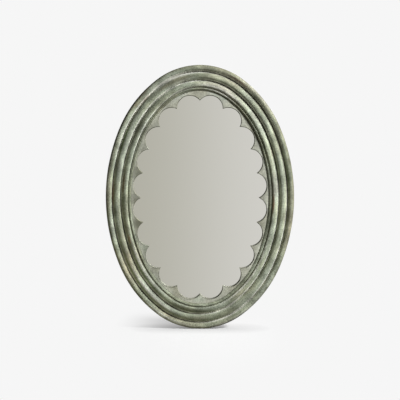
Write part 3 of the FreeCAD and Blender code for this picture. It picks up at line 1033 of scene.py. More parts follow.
@dataclass
class ReededFrame:
    """The wooden frame: eight segments of one reeded moulding."""

    oval: Oval
    back: float
    bead_widths: tuple[float, ...] = (0.0229, 0.0281, 0.025, 0.011)
    crown_shares: tuple[float, ...] = (0.44, 0.57, 0.7, 0.29)
    flanks: tuple[float, ...] = (76.0, 76.0, 76.0, 88.0)
    groove_heights: tuple[float, ...] = (0.016, 0.016, 0.016, 0.0201, 0.0208)
    rabbet_depth: float = 0.017
    rabbet_width: float = 0.008
    back_chamfer: float = 0.0015
    facet: float = 0.001
    step: float = 0.002
    hand_depth: float = 0.0007
    crown_tones: tuple[float, ...] = (1.05, 1.0, 1.0, 1.12)
    wax_tone: float = 0.0
    chalk_tone: float = 0.22
    sight_tone: float = 1.25
    soiled_tone: float = 1.5
    side_tone: float = 1.5
    bare_tone: float = -1.0
    soil_climb: float = 0.5
    finish: Patina = Patina(
        "patinated_frame",
        (
            shade(149, 143, 119),
            shade(150, 150, 130),
            shade(148, 154, 133),
            shade(151, 158, 142),
            shade(154, 155, 142),
        ),
    )

    # Mark, angle, offset, length, width and depth of each, the later over the earlier.
    stains: tuple[Stain, ...] = (
        Stain(Mark.RUBBED, 92, 0.071, 0.10, 0.012, 0.9),
        Stain(Mark.RUBBED, 36, 0.015, 0.12, 0.014, 0.9),
        Stain(Mark.RUBBED, 271, 0.025, 0.14, 0.010, 0.8),
        Stain(Mark.RUBBED, 275, 0.059, 0.12, 0.012, 0.7),
        Stain(Mark.MOSS, 236, 0.060, 0.30, 0.010, 0.6),
        Stain(Mark.MOSS, 238, 0.031, 0.30, 0.010, 0.6),
        Stain(Mark.RUBBED, 255, 0.062, 0.05, 0.014, 0.7),
        Stain(Mark.MOSS, 77, 0.047, 0.30, 0.014, 0.7),
        Stain(Mark.MOSS, 80, 0.017, 0.26, 0.012, 0.7),
        Stain(Mark.MOSS, 290, 0.029, 0.18, 0.012, 0.9),
        Stain(Mark.MOSS, 30, 0.046, 0.22, 0.012, 0.7),
        Stain(Mark.CHALK, 26, 0.066, 0.28, 0.030, 0.4),
        Stain(Mark.CHALK, 228, 0.038, 0.28, 0.016, 0.7),
        Stain(Mark.CHALK, 212, 0.008, 0.20, 0.014, 0.6),
        Stain(Mark.SOIL, 336, 0.036, 0.26, 0.022, 0.8),
        Stain(Mark.SOIL, 193, 0.063, 0.20, 0.022, 0.7),
        Stain(Mark.SOIL, 283, 0.011, 0.20, 0.013, 0.6),
        Stain(Mark.SOIL, 300, 0.063, 0.20, 0.016, 0.6),
        Stain(Mark.SOIL, 264, 0.043, 0.14, 0.014, 0.5),
        Stain(Mark.SOIL, 50, 0.009, 0.36, 0.016, 0.4),
        Stain(Mark.SOIL, 77, 0.004, 0.22, 0.014, 0.35),
        Stain(Mark.CHALK, 48, 0.0045, 0.22, 0.010, 0.17),
        # Painted light: the next two chalk stains lighten the outer edge at the bottom and on the left, where it
        # lies in shade.
        Stain(Mark.CHALK, 168, 0.005, 0.45, 0.012, 0.33),
        Stain(Mark.CHALK, 278, 0.005, 0.30, 0.012, 0.33),
        Stain(Mark.CHALK, 0, 0.0198, 0.46, 0.007, 0.9),
        Stain(Mark.CHALK, 26, 0.0478, 0.40, 0.009, 0.9),
        Stain(Mark.CHALK, 310, 0.0220, 0.60, 0.009, 0.65),
        Stain(Mark.CHALK, 304, 0.0504, 0.45, 0.009, 0.6),
        Stain(Mark.CHALK, 150, 0.0220, 0.34, 0.009, 0.6),
        Stain(Mark.CHALK, 164, 0.0520, 0.34, 0.010, 0.7),
        # Painted shadow: the next three wax stains, on the key-side grooves and sight bead, carry the dark band
        # about 3 mm further in than the cast shadows reach.
        Stain(Mark.WAX, 62, 0.0248, 0.90, 0.009, 0.9),
        Stain(Mark.WAX, 66, 0.0536, 0.75, 0.009, 0.7),
        Stain(Mark.WAX, 58, 0.0830, 0.50, 0.012, 0.8),
        Stain(Mark.WAX, 292, 0.0820, 0.70, 0.007, 0.8),
        Stain(Mark.WAX, 214, 0.0755, 0.50, 0.009, 0.7),
        Stain(Mark.WAX, 252, 0.0790, 0.40, 0.008, 0.85),
        Stain(Mark.WAX, 254, 0.0518, 0.34, 0.008, 0.6),
        Stain(Mark.WAX, 206, 0.0205, 0.40, 0.008, 0.4),
        Stain(Mark.CHALK, 300, 0.0748, 0.40, 0.006, 0.6),
        Stain(Mark.CHALK, 126, 0.0715, 0.45, 0.010, 0.65),
        Stain(Mark.CHALK, 242, 0.0680, 0.28, 0.014, 0.5),
        Stain(Mark.SOIL, 144, 0.0370, 0.28, 0.022, 0.35),
        # Painted light: the next two chalk stains lighten the shaded inward flanks on the key side, so that the
        # dark band starts further in.
        Stain(Mark.CHALK, 60, 0.0165, 0.60, 0.008, 0.7),
        Stain(Mark.CHALK, 66, 0.0462, 0.60, 0.008, 0.6),
        Stain(Mark.CHALK, 24, 0.0700, 0.24, 0.014, 0.5),
        Stain(Mark.CHALK, 24, 0.0800, 0.20, 0.008, 0.6),
        Stain(Mark.CHALK, 340, 0.0250, 0.24, 0.012, 0.5),
        Stain(Mark.CHALK, 340, 0.0740, 0.22, 0.009, 0.6),
        Stain(Mark.WAX, 97, 0.0780, 0.30, 0.012, 0.6),
        Stain(Mark.WAX, 216, 0.0492, 0.28, 0.007, 0.7),
        Stain(Mark.WAX, 0, 0.0825, 0.26, 0.007, 0.6),
    )

    @property
    def sight(self) -> float:
        """Offset of the sight edge."""
        return sum(self.bead_widths)

    def flank_points(self, foot: Pair, crown: Pair, tones: Pair, climb: float = 1.0) -> list[Triple]:
        """Points up one flank of a bead, a round that lies level at the crown.

        Args:
            foot: Offset and height of the flank's foot.
            crown: Offset and height of the crown.
            tones: Tone at the foot and at the crown.
            climb: How far the foot's tone reaches up, further the lower it is.

        Returns:
            Offset, height and tone of each point, from the foot to just before the crown.
        """
        foot_tone, crown_tone = tones
        reach = foot[0] - crown[0]
        drop = crown[1] - foot[1]
        turn = 2 * math.atan2(drop, abs(reach))
        radius = abs(reach) / math.sin(turn)
        count = round(turn * radius / self.facet)
        points = []
        for index in range(count):
            angle = turn * (1 - index / count)
            sunk = radius * (1 - math.cos(angle))
            offset = crown[0] + math.copysign(radius * math.sin(angle), reach)
            tone = crown_tone + (foot_tone - crown_tone) * (sunk / drop) ** climb
            points.append((offset, crown[1] - sunk, tone))
        return points

    def beads(self) -> list[Triple]:
        """Draws the beads, from the outermost to the sight bead.

        Returns:
            Offset, height and tone of each point over them, without the sight edge.
        """
        outward = (self.soiled_tone, self.wax_tone, self.wax_tone, self.soiled_tone)
        inward = (self.chalk_tone, self.chalk_tone, self.sight_tone, self.sight_tone)
        outer = (0.0, self.groove_heights[0])
        points = []
        for index, (width, share, flank) in enumerate(zip(self.bead_widths, self.crown_shares, self.flanks)):
            inner = (outer[0] + width, self.groove_heights[index + 1])
            offset = outer[0] + width * share
            slope = math.tan(math.radians(flank) / 2)
            crown = (offset, min(foot[1] + slope * abs(offset - foot[0]) for foot in (outer, inner)))
            top = self.crown_tones[index]
            climb = 1.0 if index else self.soil_climb
            points += self.flank_points(outer, crown, (outward[index], top), climb)
            points.append((*crown, top))
            points += self.flank_points(inner, crown, (inward[index], top))[:0:-1]
            outer = inner
        return points

    def section(self) -> bpy.types.Mesh:
        """Draws the moulding's section.

        Returns:
            A mesh of the points round it, as the sweep takes them.
        """
        rabbet = self.sight - self.rabbet_width
        points = [
            (rabbet, 0.0, self.bare_tone),
            (self.back_chamfer, 0.0, self.bare_tone),
            (0.0, self.back_chamfer, self.side_tone),
            (0.0, self.groove_heights[0] / 2, self.side_tone),
            *self.beads(),
            (self.sight, self.groove_heights[-1], self.sight_tone),
            (self.sight, self.rabbet_depth, self.side_tone),
            (rabbet, self.rabbet_depth, self.bare_tone),
        ]
        return mesh_of("moulding_section", points)

    def middle(self, stain: Stain, path_offset: float) -> Vector:
        """Middle of a stain in the swept mesh's flow values.

        Args:
            stain: The stain.
            path_offset: Offset of the line that the flow is measured along.

        Returns:
            The middle, on a coil as long as that line, with the offset as its height.
        """
        walked = self.oval.walked(math.radians(stain.angle), path_offset)
        coil = self.oval.length(path_offset) / TURN
        return Vector((coil * math.cos(walked / coil), coil * math.sin(walked / coil), stain.offset))

    def build(self, sweep: SweepTree) -> None:
        """Makes the eight segments.

        Args:
            sweep: The tree that sweeps a section.
        """
        path_offset = self.sight / 2
        finish = self.finish.material([(stain, self.middle(stain, path_offset)) for stain in self.stains])
        walked = 0.0
        for arc in self.oval.arcs:
            values = {
                "Centre X": arc.centre_x,
                "Centre Z": arc.centre_z,
                "Radius": arc.radius,
                "Start": arc.start,
                "End": arc.end,
                "Back": self.back,
                "Path Start": walked,
                "Path Length": self.oval.length(path_offset),
                "Path Offset": path_offset,
                "Hand Depth": self.hand_depth,
                "Steps": round(arc.length(0.0) / self.step),
                "Finish": finish,
            }
            piece = sweep.grow("moulding_" + arc.name, self.section(), values)
            tidy(piece.data, fill_ends=True)
            smooth(piece.data)
            fit(piece, Body.FRAME.value, Slot.FRAME_WOOD, "frame_" + arc.name)
            walked += arc.length(path_offset)


@dataclass
class ScallopedSlip:
    """Slip with a flange behind the sight edge and a face cut into equal scallops with eased edges."""

    oval: Oval
    front: float
    back: float
    sight: float
    edge: float
    count: int = 20
    reach: float = 0.033
    rise: float = 0.030
    sunk: float = 0.0004
    face_rise: float = 0.0033
    face_gap: float = 0.0005
    eased: float = 0.0011
    eased_steps: int = 3
    arc_points: int = 26
    face_rings: int = 5
    line_width: float = 0.0024
    wall_tone: float = 1.33
    line_tone: float = 1.38
    face_tone: float = 1.0
    soil_tone: float = 1.19
    soil_start: float = 0.1
    soil_run: float = 0.08
    soil_inset: float = 0.014
    # Painted shadow: a dark tone on the slip along one stretch of the sight edge, where the frame casts its
    # shadow.
    painted_shadow_tone: float = 1.5
    painted_shadow_angle: float = math.radians(60.0)
    painted_shadow_half: float = 0.09
    painted_shadow_width: float = 0.009
    cupped: float = math.tan(math.radians(3.5))
    sharp_angle: float = math.radians(50.0)
    finish: Patina = Patina(
        "patinated_slip",
        (shade(170, 169, 151), shade(178, 179, 164), shade(184, 186, 173), shade(177, 184, 169)),
        soil_and_shadow=shade(58, 56, 44),
        soil_and_shadow_share=1.0,
        cloud_depth=0.2,
        mottle_depth=0.2,
        grit_depth=0.12,
        worn_fade=(0.7, 0.8),
        drawn=1.0,
        streaked=1.0,
        bump_strength=0.35,
    )

    stains: tuple[Stain, ...] = (
        Stain(Mark.SOIL, 260, 0.104, 0.07, 0.07, 0.6),
        Stain(Mark.SOIL, 280, 0.104, 0.07, 0.07, 0.5),
    )

    def circles(self) -> list[tuple[Vector, float]]:
        """Lays the scallops out, one between every two points of the slip.

        Returns:
            Centre, in X and Z, and radius of each.
        """
        offset = self.sight + self.reach
        tips = [Vector(self.oval.along(i / self.count, offset, offset)) for i in range(self.count)]
        made = []
        for start, end in zip(tips, tips[1:] + tips[:1]):
            chord = end - start
            outwards = Vector((-chord.y, chord.x)).normalized()
            radius = (chord.length_squared / 4 + self.rise**2) / (2 * self.rise)
            made.append(((start + end) / 2 + outwards * (self.rise - radius), radius))
        return made

    def ring(self, inset: float, y: float) -> list[Vector]:
        """One line of points right round the scalloped edge.

        Args:
            inset: How far it is cut back into the slip.
            y: Its depth.

        Returns:
            The points, scallop by scallop, each from its first tip.
        """
        circles = [(centre, radius + inset) for centre, radius in self.circles()]
        tips = []
        for (first, first_radius), (second, second_radius) in zip(circles[-1:] + circles[:-1], circles):
            span = second - first
            share = (first_radius**2 - second_radius**2 + span.length_squared) / (2 * span.length)
            outwards = Vector((-span.y, span.x)).normalized()
            tips.append(first + span.normalized() * share + outwards * math.sqrt(first_radius**2 - share**2))
        points = []
        for (centre, radius), start, end in zip(circles, tips, tips[1:] + tips[:1]):
            begin = math.atan2(start.y - centre.y, start.x - centre.x)
            sweep = (begin - math.atan2(end.y - centre.y, end.x - centre.x)) % TURN
            for index in range(self.arc_points):
                angle = begin - sweep * index / self.arc_points
                x = centre.x + radius * math.cos(angle)
                points.append(Vector((x, y, centre.y + radius * math.sin(angle))))
        return points

    def rim(self, offset: float, y: float) -> list[Vector]:
        """A plain outer edge, point for point with the scalloped edge.

        Args:
            offset: Its offset.
            y: Its depth.

        Returns:
            The points.
        """
        total = self.count * self.arc_points
        walk = self.sight + self.reach
        flat = [self.oval.along(index / total, walk, offset) for index in range(total)]
        return [Vector((x, y, z)) for x, z in flat]

    def rings(self) -> list[list[Vector]]:
        """Draws the slip's skin, from the back of the scalloped edge over the front to the back of the rim.

        Returns:
            Lines of points right round, all of one length.
        """
        face_y = self.front + self.sunk
        made = [self.ring(0.0, self.back)]
        for turn in steps_round(TURN / 4, self.eased_steps):
            y = face_y + self.eased * (1 - math.sin(turn))
            made.append(self.ring(self.eased * (1 - math.cos(turn)), y))
        made.append(self.ring(self.line_width, face_y))
        rim = self.rim(self.sight + self.face_gap, face_y)
        face = made[-1]
        for index in range(1, self.face_rings):
            share = index / self.face_rings
            made.append([near.lerp(far, share) for near, far in zip(face, rim)])
        flange = self.front + self.face_rise
        made += [rim, self.rim(self.sight + self.face_gap, flange)]
        return [*made, self.rim(self.edge, flange), self.rim(self.edge, self.back)]

    def painted_shadow(self, place: Vector, inside: float) -> float:
        """How dark the painted shadow lies that stands for the frame's cast shadow along one stretch of the sight
        edge.

        Args:
            place: A point of the slip.
            inside: How far it is inside the sight edge.

        Returns:
            Its strength there, from 0 to 1.
        """
        middle = Vector(self.oval.at(self.painted_shadow_angle, self.sight))
        away = (Vector((place.x, place.z)) - middle).length
        across = max(0.0, 1.0 - inside / self.painted_shadow_width)
        return across * min(1.0, max(0.0, 2.0 - 2.0 * away / self.painted_shadow_half))

    def tone(self, place: Vector, edge: float) -> float:
        """Tone of a point.

        Args:
            place: The point.
            edge: How far it is from the scalloped edge.

        Returns:
            A soiled tone on a line along the scalloped edge, less so on the scallops' walls and on the points at
            the oval's sides, a dark tone painted as the frame's shadow along one stretch of the sight edge, and
            the face's own elsewhere.
        """
        inside = max(0.0, self.oval.offset_of(place.x, place.z) - self.sight)
        sideways = min(1.0, max(0.0, (abs(place.x) - self.soil_start) / self.soil_run))
        soiled = sideways * min(1.0, inside / self.soil_inset)
        plain = self.face_tone + (self.soil_tone - self.face_tone) * soiled
        # Painted shadow of the frame on the slip, along one stretch of the sight edge.
        plain += (self.painted_shadow_tone - plain) * self.painted_shadow(place, inside)
        if edge < self.eased:
            return self.wall_tone + (self.line_tone - self.wall_tone) * edge / self.eased
        lined = 1.0 - (edge - self.eased) / (self.line_width - self.eased)
        return plain + (self.line_tone - plain) * max(0.0, lined)

    def cup(self, place: Vector) -> Vector:
        """Cups the slip a little towards the front.

        Args:
            place: A point of the flat slip.

        Returns:
            The point, moved the more, the nearer it is to the scallops' tips and the front.
        """
        inside = max(0.0, self.oval.offset_of(place.x, place.z) - self.sight)
        forwards = (self.back - place.y) / (self.back - self.front)
        return place - Vector((0.0, inside * self.cupped * forwards, 0.0))

    def middle(self, stain: Stain) -> Vector:
        """Middle of a stain in the mesh's flow values."""
        return Vector((*self.oval.at(math.radians(stain.angle), stain.offset), self.front))

    def build(self) -> None:
        """Makes the slip."""
        rings = self.rings()
        faces = band_faces(len(rings), len(rings[0]), closed=True)
        mesh = mesh_of("slip", [self.cup(point) for ring in rings for point in ring], faces=faces)
        tidy(mesh)
        smooth(mesh, self.sharp_angle)
        circles = self.circles()
        tones = []
        for vertex in mesh.vertices:
            flat = Vector((vertex.co.x, vertex.co.z))
            edge = min((flat - centre).length - radius for centre, radius in circles)
            tones.append(self.tone(vertex.co, max(0.0, edge)))
        mesh.attributes.new(Attribute.TONE.value, "FLOAT", "POINT").data.foreach_set("value", tones)
        for name in (Attribute.FLOW, Attribute.PLANK):
            store_vectors(mesh, name, lambda place: (place.x, place.z, place.y))
        mesh.materials.append(self.finish.material([(stain, self.middle(stain)) for stain in self.stains]))
        fit(new_object("slip", mesh), Body.FRAME.value, Slot.SLIP_WOOD, "scalloped_slip")


@dataclass
class Glazing:
    """The glass, the board behind it and the dowels in the frame, which keep their own solids."""

    glass: SilveredGlass = SilveredGlass()
    board: Hardboard = Hardboard()
    dowel: PlainTimber = PlainTimber()

    def dress(self) -> None:
        """Gives the solids their finishes."""
        finishes = {"mirror_glass": self.glass, "backing_board": self.board, "segment_dowels": self.dowel}
        for node, finish in finishes.items():
            solid = frame["nodes"][node]
            solid.data.materials.clear()
            solid.data.materials.append(finish.material())
            LOG.info("%s: dressed", node)


def softened(node: str, name: str, width: float, finish: bpy.types.Material) -> bpy.types.Object:
    """A copy of a solid with its edges eased.

    Args:
        node: The CAD node to copy.
        name: Name of the copy.
        width: Width of the easing.
        finish: Its material.

    Returns:
        The copy, as a plain mesh.
    """
    mesh = frame["nodes"][node].data.copy()
    mesh.name = name
    made = bmesh.new()
    made.from_mesh(mesh)
    bmesh.ops.remove_doubles(made, verts=made.verts, dist=MERGE_DISTANCE)
    bmesh.ops.dissolve_limit(made, angle_limit=FLAT_ANGLE, verts=made.verts, edges=made.edges)
    made.to_mesh(mesh)
    made.free()
    piece = new_object(name, mesh)
    bevel = piece.modifiers.new("eased", "BEVEL")
    bevel.width = width
    bevel.segments = EASED_SEGMENTS
    bevel.limit_method = "ANGLE"
    bevel.angle_limit = EDGE_ANGLE
    settle(piece)
    smooth(piece.data)
    piece.data.materials.clear()
    piece.data.materials.append(finish)
    return piece


def lathe(name: str, profile: Sequence[Pair], sides: int) -> bpy.types.Mesh:
    """A closed solid turned about Y.

    Args:
        name: The mesh's name.
        profile: Radius and Y of each point, from the axis at one end to the axis at the other.
        sides: Number of sides.

    Returns:
        The mesh.
    """
    points = []
    for radius, y in profile:
        for side in range(sides):
            angle = TURN * side / sides
            points.append((radius * math.cos(angle), y, radius * math.sin(angle)))
    mesh = mesh_of(name, points, faces=band_faces(len(profile), sides))
    tidy(mesh)
    return mesh


@dataclass
class PanScrews:
    """Pan-head screws with a cross recess. Y = 0 is where the head lies, and the shank runs towards -Y."""

    node: str
    seats: list[Vector]
    finish: bpy.types.Material
    head_radius: float
    head_height: float
    shank_radius: float
    shank_length: float
    sides: int = 32
    crown_steps: int = 6
    recess_width: float = 0.0009
    recess_depth: float = 0.0011
    recess_share: float = 0.62
    crown_share: float = 0.62
    most_turn: float = TURN / 4

    def template(self) -> bpy.types.Object:
        """Makes one screw at the origin.

        Returns:
            The screw, as a plain mesh.
        """
        crown = self.head_height * self.crown_share
        flat = self.head_height - crown
        profile = [(0.0, -self.shank_length), (self.shank_radius, -self.shank_length)]
        profile += [(self.shank_radius, 0.0), (self.head_radius, 0.0)]
        for turn in steps_round(TURN / 4, self.crown_steps):
            profile.append((self.head_radius - crown * (1 - math.cos(turn)), flat + crown * math.sin(turn)))
        profile.append((0.0, self.head_height))
        screw = new_object(self.node + "_template", lathe(self.node, profile, self.sides))
        arm = max(2 * self.head_radius * self.recess_share, self.recess_width)
        for x, z in ((arm, self.recess_width), (self.recess_width, arm)):
            cutter = bmesh.new()
            bmesh.ops.create_cube(cutter, size=1.0)
            scale = Matrix.Diagonal((x, 2 * self.recess_depth, z, 1.0))
            matrix = Matrix.Translation((0, self.head_height, 0)) @ scale
            bmesh.ops.transform(cutter, matrix=matrix, verts=cutter.verts)
            mesh = bpy.data.meshes.new("recess")
            cutter.to_mesh(mesh)
            cutter.free()
            block = new_object("recess", mesh)
            cut = screw.modifiers.new("recess", "BOOLEAN")
            cut.object = block
            cut.solver = "EXACT"
            settle(screw)
            bpy.data.objects.remove(block)
        return screw

    def build(self, scatter: ScatterTree) -> None:
        """Sets a screw in every seat.

        Args:
            scatter: The tree that sets templates on points.
        """
        template = self.template()
        values = {"Template": template, "Most Turn": self.most_turn, "Finish": self.finish}
        piece = scatter.grow("pan_" + self.node, mesh_of(self.node, self.seats), values)
        bpy.data.objects.remove(template)
        smooth(piece.data)
        fit(piece, Body.FRAME.value, Slot.SCREW, self.node)


@dataclass
class TurnButtons:
    """Turn buttons that hold the backing board, each on its pivot screw."""

    oval: Oval
    rabbet: float
    setback: float = 0.009
    eased: float = 0.0003
    head_radius: float = 0.0035
    head_height: float = 0.0022
    shank_radius: float = 0.0015
    brass: PlatedMetal = PlatedMetal(
        "turned_brass",
        bright=shade(198, 164, 92),
        tarnish=shade(126, 96, 52),
        polish=0.28,
        dull=0.5,
        tarnish_share=0.7,
    )

    def build(self, scatter: ScatterTree, zinc: bpy.types.Material) -> None:
        """Makes the buttons and their screws.

        Args:
            scatter: The tree that sets templates on points.
            zinc: The screws' finish.
        """
        brass = self.brass.material()
        for arc in self.oval.arcs:
            node = "turn_button_" + arc.name
            piece = softened(node, "brass_button_" + arc.name, self.eased, brass)
            fit(piece, "button_" + arc.name, Slot.BRASS, node)
        low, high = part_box("turn_button_screws")
        head = high.y - self.head_height
        pivot = self.rabbet - self.setback
        flat = [arc.at(arc.middle(), pivot) for arc in self.oval.arcs]
        seats = [Vector((x, head, z)) for x, z in flat]
        sizes = (self.head_radius, self.head_height, self.shank_radius, head - low.y)
        PanScrews("turn_button_screws", seats, zinc, *sizes).build(scatter)


@dataclass
class StrapHangers:
    """Two folded steel straps with their swinging D-rings and screws."""

    wire_radius: float = 0.0018
    drop: float = 0.025
    bar_half: float = 0.0088
    corner: float = 0.0025
    hole_drops: tuple[float, ...] = (0.0348, 0.0478)
    eased: float = 0.0002
    head_radius: float = 0.004
    head_height: float = 0.0025
    shank_radius: float = 0.002
    corner_points: int = 8
    crown_points: int = 28
    nickel: PlatedMetal = PlatedMetal(
        "nickel_plate", bright=shade(196, 194, 188), tarnish=shade(136, 130, 120), polish=0.22, dull=0.42
    )

    def ring_path(self, pivot: Vector, tilt: float) -> bpy.types.Mesh:
        """Centre line of a D-ring.

        Args:
            pivot: Middle of the ring's bar.
            tilt: How far it leans out from hanging straight down.

        Returns:
            A closed line of points.
        """
        leg = self.bar_half + self.corner
        flat = []
        for turn in steps_round(TURN / 4, self.corner_points):
            flat.append((self.bar_half + self.corner * math.sin(turn), self.corner * (math.cos(turn) - 1)))
        for turn in steps_round(TURN / 2, self.crown_points):
            flat.append((leg * math.cos(turn), leg - self.drop - leg * math.sin(turn)))
        for turn in steps_round(TURN / 4, self.corner_points):
            flat.append((-self.bar_half - self.corner * math.cos(turn), self.corner * (math.sin(turn) - 1)))
        lean = Matrix.Rotation(tilt, 3, "X")
        points = [pivot + lean @ Vector((x, 0.0, z)) for x, z in flat]
        edges = [(index, (index + 1) % len(points)) for index in range(len(points))]
        return mesh_of("ring_path", points, edges)

    def build(self, scatter: ScatterTree, wire: WireTree, zinc: bpy.types.Material) -> None:
        """Makes the straps, the rings and the screws.

        Args:
            scatter: The tree that sets templates on points.
            wire: The tree that sweeps a wire.
            zinc: The screws' finish.
        """
        nickel = self.nickel.material()
        joints = {joint["child"]: joint for joint in frame["joints"]}
        seats = []
        deep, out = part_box("hanger_screws")
        head = out.y - self.head_height
        for side in ("left", "right"):
            node = "hanger_strap_" + side
            strap = softened(node, "folded_strap_" + side, self.eased, nickel)
            fit(strap, Body.FRAME.value, Slot.HANGER, node)
            body = "ring_" + side
            pivot = Vector(joints[body]["pos_m"])
            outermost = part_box("d_ring_" + side)[1].y
            tilt = math.asin((outermost - self.wire_radius - pivot.y) / self.drop)
            values = {"Radius": self.wire_radius, "Finish": nickel}
            ring = wire.grow("wire_ring_" + side, self.ring_path(pivot, tilt), values)
            tidy(ring.data)
            smooth(ring.data)
            fit(ring, body, Slot.HANGER, "d_ring_" + side)
            seats += [Vector((pivot.x, head, pivot.z - drop)) for drop in self.hole_drops]
        sizes = (self.head_radius, self.head_height, self.shank_radius, head - deep.y)
        PanScrews("hanger_screws", seats, zinc, *sizes).build(scatter)


@dataclass
class WallBumpers:
    """Four moulded rubber bumpers on the frame's back."""

    seats: list[Pair]
    back: float
    foot_radius: float = 0.009
    face_radius: float = 0.007
    eased: float = 0.001
    sides: int = 40
    eased_steps: int = 4
    rubber: Rubber = Rubber()

    def build(self, scatter: ScatterTree) -> None:
        """Makes the bumpers.

        Args:
            scatter: The tree that sets templates on points.
        """
        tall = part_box("wall_bumpers")[1].y - self.back
        profile = [(0.0, 0.0), (self.foot_radius, 0.0)]
        for turn in steps_round(TURN / 4, self.eased_steps):
            easing = self.eased * (1 - math.cos(turn))
            profile.append((self.face_radius - easing, tall - self.eased * (1 - math.sin(turn))))
        profile.append((0.0, tall))
        template = new_object("bumper_template", lathe("bumper", profile, self.sides))
        seats = mesh_of("bumper_seats", [(x, self.back, z) for x, z in self.seats])
        values = {"Template": template, "Most Turn": 0.0, "Finish": self.rubber.material()}
        piece = scatter.grow("rubber_bumpers", seats, values)
        bpy.data.objects.remove(template)
        smooth(piece.data)
        fit(piece, Body.FRAME.value, Slot.RUBBER, "wall_bumpers")


@dataclass(frozen=True)
class Softbox:
    """A round soft light that faces the middle of the piece.

    Its azimuth is measured clockwise from straight up, seen from the front, and its slant from the line of
    sight towards that azimuth, both in degrees, as is its spread. Its strength is that of the light which
    reaches the middle. One that stands nearer than GLASS_CLEAR is kept out of reflections.
    """

    GLASS_CLEAR = 2.0

    name: str
    azimuth: float
    slant: float
    strength: float
    spread: float
    shadow: bool = True
    colour: Colour = shade(255, 255, 255)
    distance: float = 5.0

    def build(self) -> None:
        """Adds the light to the scene."""
        azimuth = math.radians(self.azimuth)
        slant = math.radians(self.slant)
        side = math.sin(slant)
        towards = Vector((side * math.sin(azimuth), -math.cos(slant), side * math.cos(azimuth)))
        lamp = bpy.data.lights.new(self.name, "AREA")
        lamp.shape = "DISK"
        lamp.energy = self.strength * math.pi * self.distance**2
        lamp.color = self.colour[:3]
        lamp.size = 2 * self.distance * math.tan(math.radians(self.spread) / 2)
        lamp.use_shadow = self.shadow
        light = bpy.data.objects.new(self.name, lamp)
        light.location = towards * self.distance
        light.visible_glossy = self.distance > self.GLASS_CLEAR
        light.rotation_euler = towards.to_track_quat("Z", "Y").to_euler()
        bpy.context.scene.collection.objects.link(light)


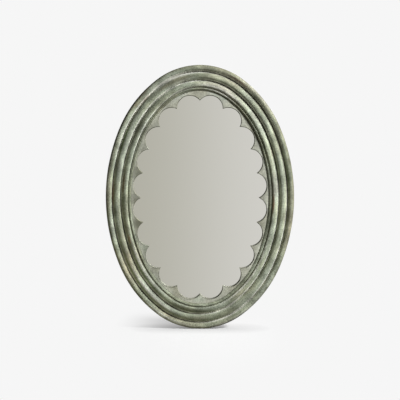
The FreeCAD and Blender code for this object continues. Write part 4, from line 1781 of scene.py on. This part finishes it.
@dataclass
class Studio:
    """Pale floor, soft light mostly from the right, and a long lens straight in front."""

    UNSCATTERED = 0.5

    floor_z: float
    photo_pixels: int = 400
    metres_per_pixel: float = 0.003428
    aim: Triple = (0.0002, 0.0, -0.0090)
    distance: float = 3.5
    elevation: float = math.radians(4.0)
    sensor: float = 36.0
    clip_end: float = 200.0
    backdrop: float = 0.922
    floor_half: float = 30.0
    floor_near: float = 0.12
    floor_far: float = 0.75
    floor_stretch: Triple = (2.4, 1.0, 0.0)
    floor_seen: float = 0.31
    floor_glow: float = 0.48
    floor_dimming: float = 0.1
    floor_bounce: float = 0.08
    lamps: tuple[Softbox, ...] = (
        Softbox("key_right", azimuth=54.0, slant=71.5, strength=7.6, spread=12.0),
        Softbox(
            "fill_low_left",
            azimuth=218.0,
            slant=50.0,
            strength=0.6,
            spread=30.0,
            colour=shade(255, 254, 222),
            distance=1.2,
        ),
        Softbox("back_fill", azimuth=15.0, slant=165.0, strength=1.8, spread=40.0, shadow=False),
    )
    ambient: float = 0.01
    reflected_left: Colour = shade(189, 187, 177)
    reflected_right: Colour = shade(220, 218, 214)
    reflected_half: float = 0.075

    def floor(self) -> None:
        """Lays the floor, fading into the backdrop with distance, with painted shadow near the piece."""
        size = self.floor_half
        corners = [(-size, -size), (size, -size), (size, size), (-size, size)]
        mesh = mesh_of("floor", [(x, y, self.floor_z) for x, y in corners], faces=[(0, 1, 2, 3)])
        material, g, principled = shader("floor_paper")
        reach = g.length(g.stretch(g.place(), self.floor_stretch))
        rays = g.add("ShaderNodeLightPath").outputs
        lit = g.between(reach, self.floor_near, self.floor_far, self.floor_seen, 0.0)
        glow = g.between(reach, self.floor_near, self.floor_far, self.floor_glow, 1.0)
        # Painted contact shadow: ambient occlusion darkens the floor's glow near the piece.
        open_sky = g.add("ShaderNodeAmbientOcclusion", {"Distance": self.floor_dimming}).outputs["AO"]
        looks = {
            "Base Color": g.mix(rays["Is Camera Ray"], grey(self.floor_bounce), lit),
            "Roughness": 1.0,
            "Specular IOR Level": 0.0,
            "Emission Color": grey(self.backdrop),
            "Emission Strength": g.times(g.times(glow, open_sky), rays["Is Camera Ray"]),
        }
        g.feed(principled, looks)
        mesh.materials.append(material)
        floor = new_object("floor", mesh)
        floor.visible_glossy = False
        floor.visible_shadow = False

    def world(self) -> None:
        """Pale backdrop for the camera, soft even light, and a gentle gradient for the glass to reflect."""
        world = bpy.data.worlds.new("studio")
        world.use_nodes = True
        world.node_tree.nodes.clear()
        g = Graph(world.node_tree)
        rays = g.add("ShaderNodeLightPath").outputs
        across = g.parts(g.add("ShaderNodeTexCoord").outputs["Generated"])[0]
        side = g.between(across, -self.reflected_half, self.reflected_half)
        mirrored = g.mix(side, self.reflected_left, self.reflected_right)
        direct = g.math("LESS_THAN", rays["Diffuse Depth"], self.UNSCATTERED)
        seen_in_glass = g.times(rays["Is Glossy Ray"], direct)
        light = g.mix(seen_in_glass, grey(self.ambient), mirrored)
        seen = g.math("MAXIMUM", rays["Is Camera Ray"], rays["Is Transmission Ray"])
        colour = g.mix(seen, light, grey(self.backdrop))
        background = g.add("ShaderNodeBackground", {"Color": colour})
        g.add("ShaderNodeOutputWorld", {"Surface": background.outputs[0]})
        bpy.context.scene.world = world

    def camera(self) -> None:
        """Sets the camera so that the oval falls where it does in the photograph."""
        lens = bpy.data.cameras.new("camera")
        lens.sensor_width = self.sensor
        lens.lens = self.sensor * self.distance / (self.photo_pixels * self.metres_per_pixel)
        lens.clip_end = self.clip_end
        away = Vector((0.0, -math.cos(self.elevation), math.sin(self.elevation)))
        camera = bpy.data.objects.new("camera", lens)
        camera.location = Vector(self.aim) + away * self.distance
        camera.rotation_euler = away.to_track_quat("Z", "Y").to_euler()
        bpy.context.scene.collection.objects.link(camera)
        bpy.context.scene.camera = camera

    def build(self) -> None:
        """Sets the whole studio up."""
        bpy.context.scene.view_settings.view_transform = "Standard"
        self.floor()
        self.world()
        for lamp in self.lamps:
            lamp.build()
        self.camera()


def main() -> None:
    """Builds every sub-assembly and the studio."""
    logging.basicConfig(level=logging.INFO, format="%(name)s: %(message)s")
    low, high = CAD_BOX
    oval = Oval(high.x - low.x, high.z - low.z)
    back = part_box("frame_top")[1].y
    scatter = ScatterTree()
    zinc = PlatedMetal(
        "zinc_screw", bright=shade(184, 184, 180), tarnish=shade(120, 118, 112), polish=0.26, dull=0.44
    ).material()
    reeded = ReededFrame(oval, back)
    reeded.build(SweepTree())
    slip_low, slip_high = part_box("scalloped_slip")
    edge = high.z - slip_high.z
    ScallopedSlip(oval, slip_low.y, slip_high.y, reeded.sight, edge).build()
    Glazing().dress()
    TurnButtons(oval, reeded.sight - reeded.rabbet_width).build(scatter, zinc)
    StrapHangers().build(scatter, WireTree(), zinc)
    spots = [mount["pos_m"] for mount in frame["record"]["mounts"] if mount["name"].startswith("bumper")]
    WallBumpers([(x, z) for x, _, z in spots], back).build(scatter)
    Studio(low.z).build()


if __name__ == "__main__":
    main()
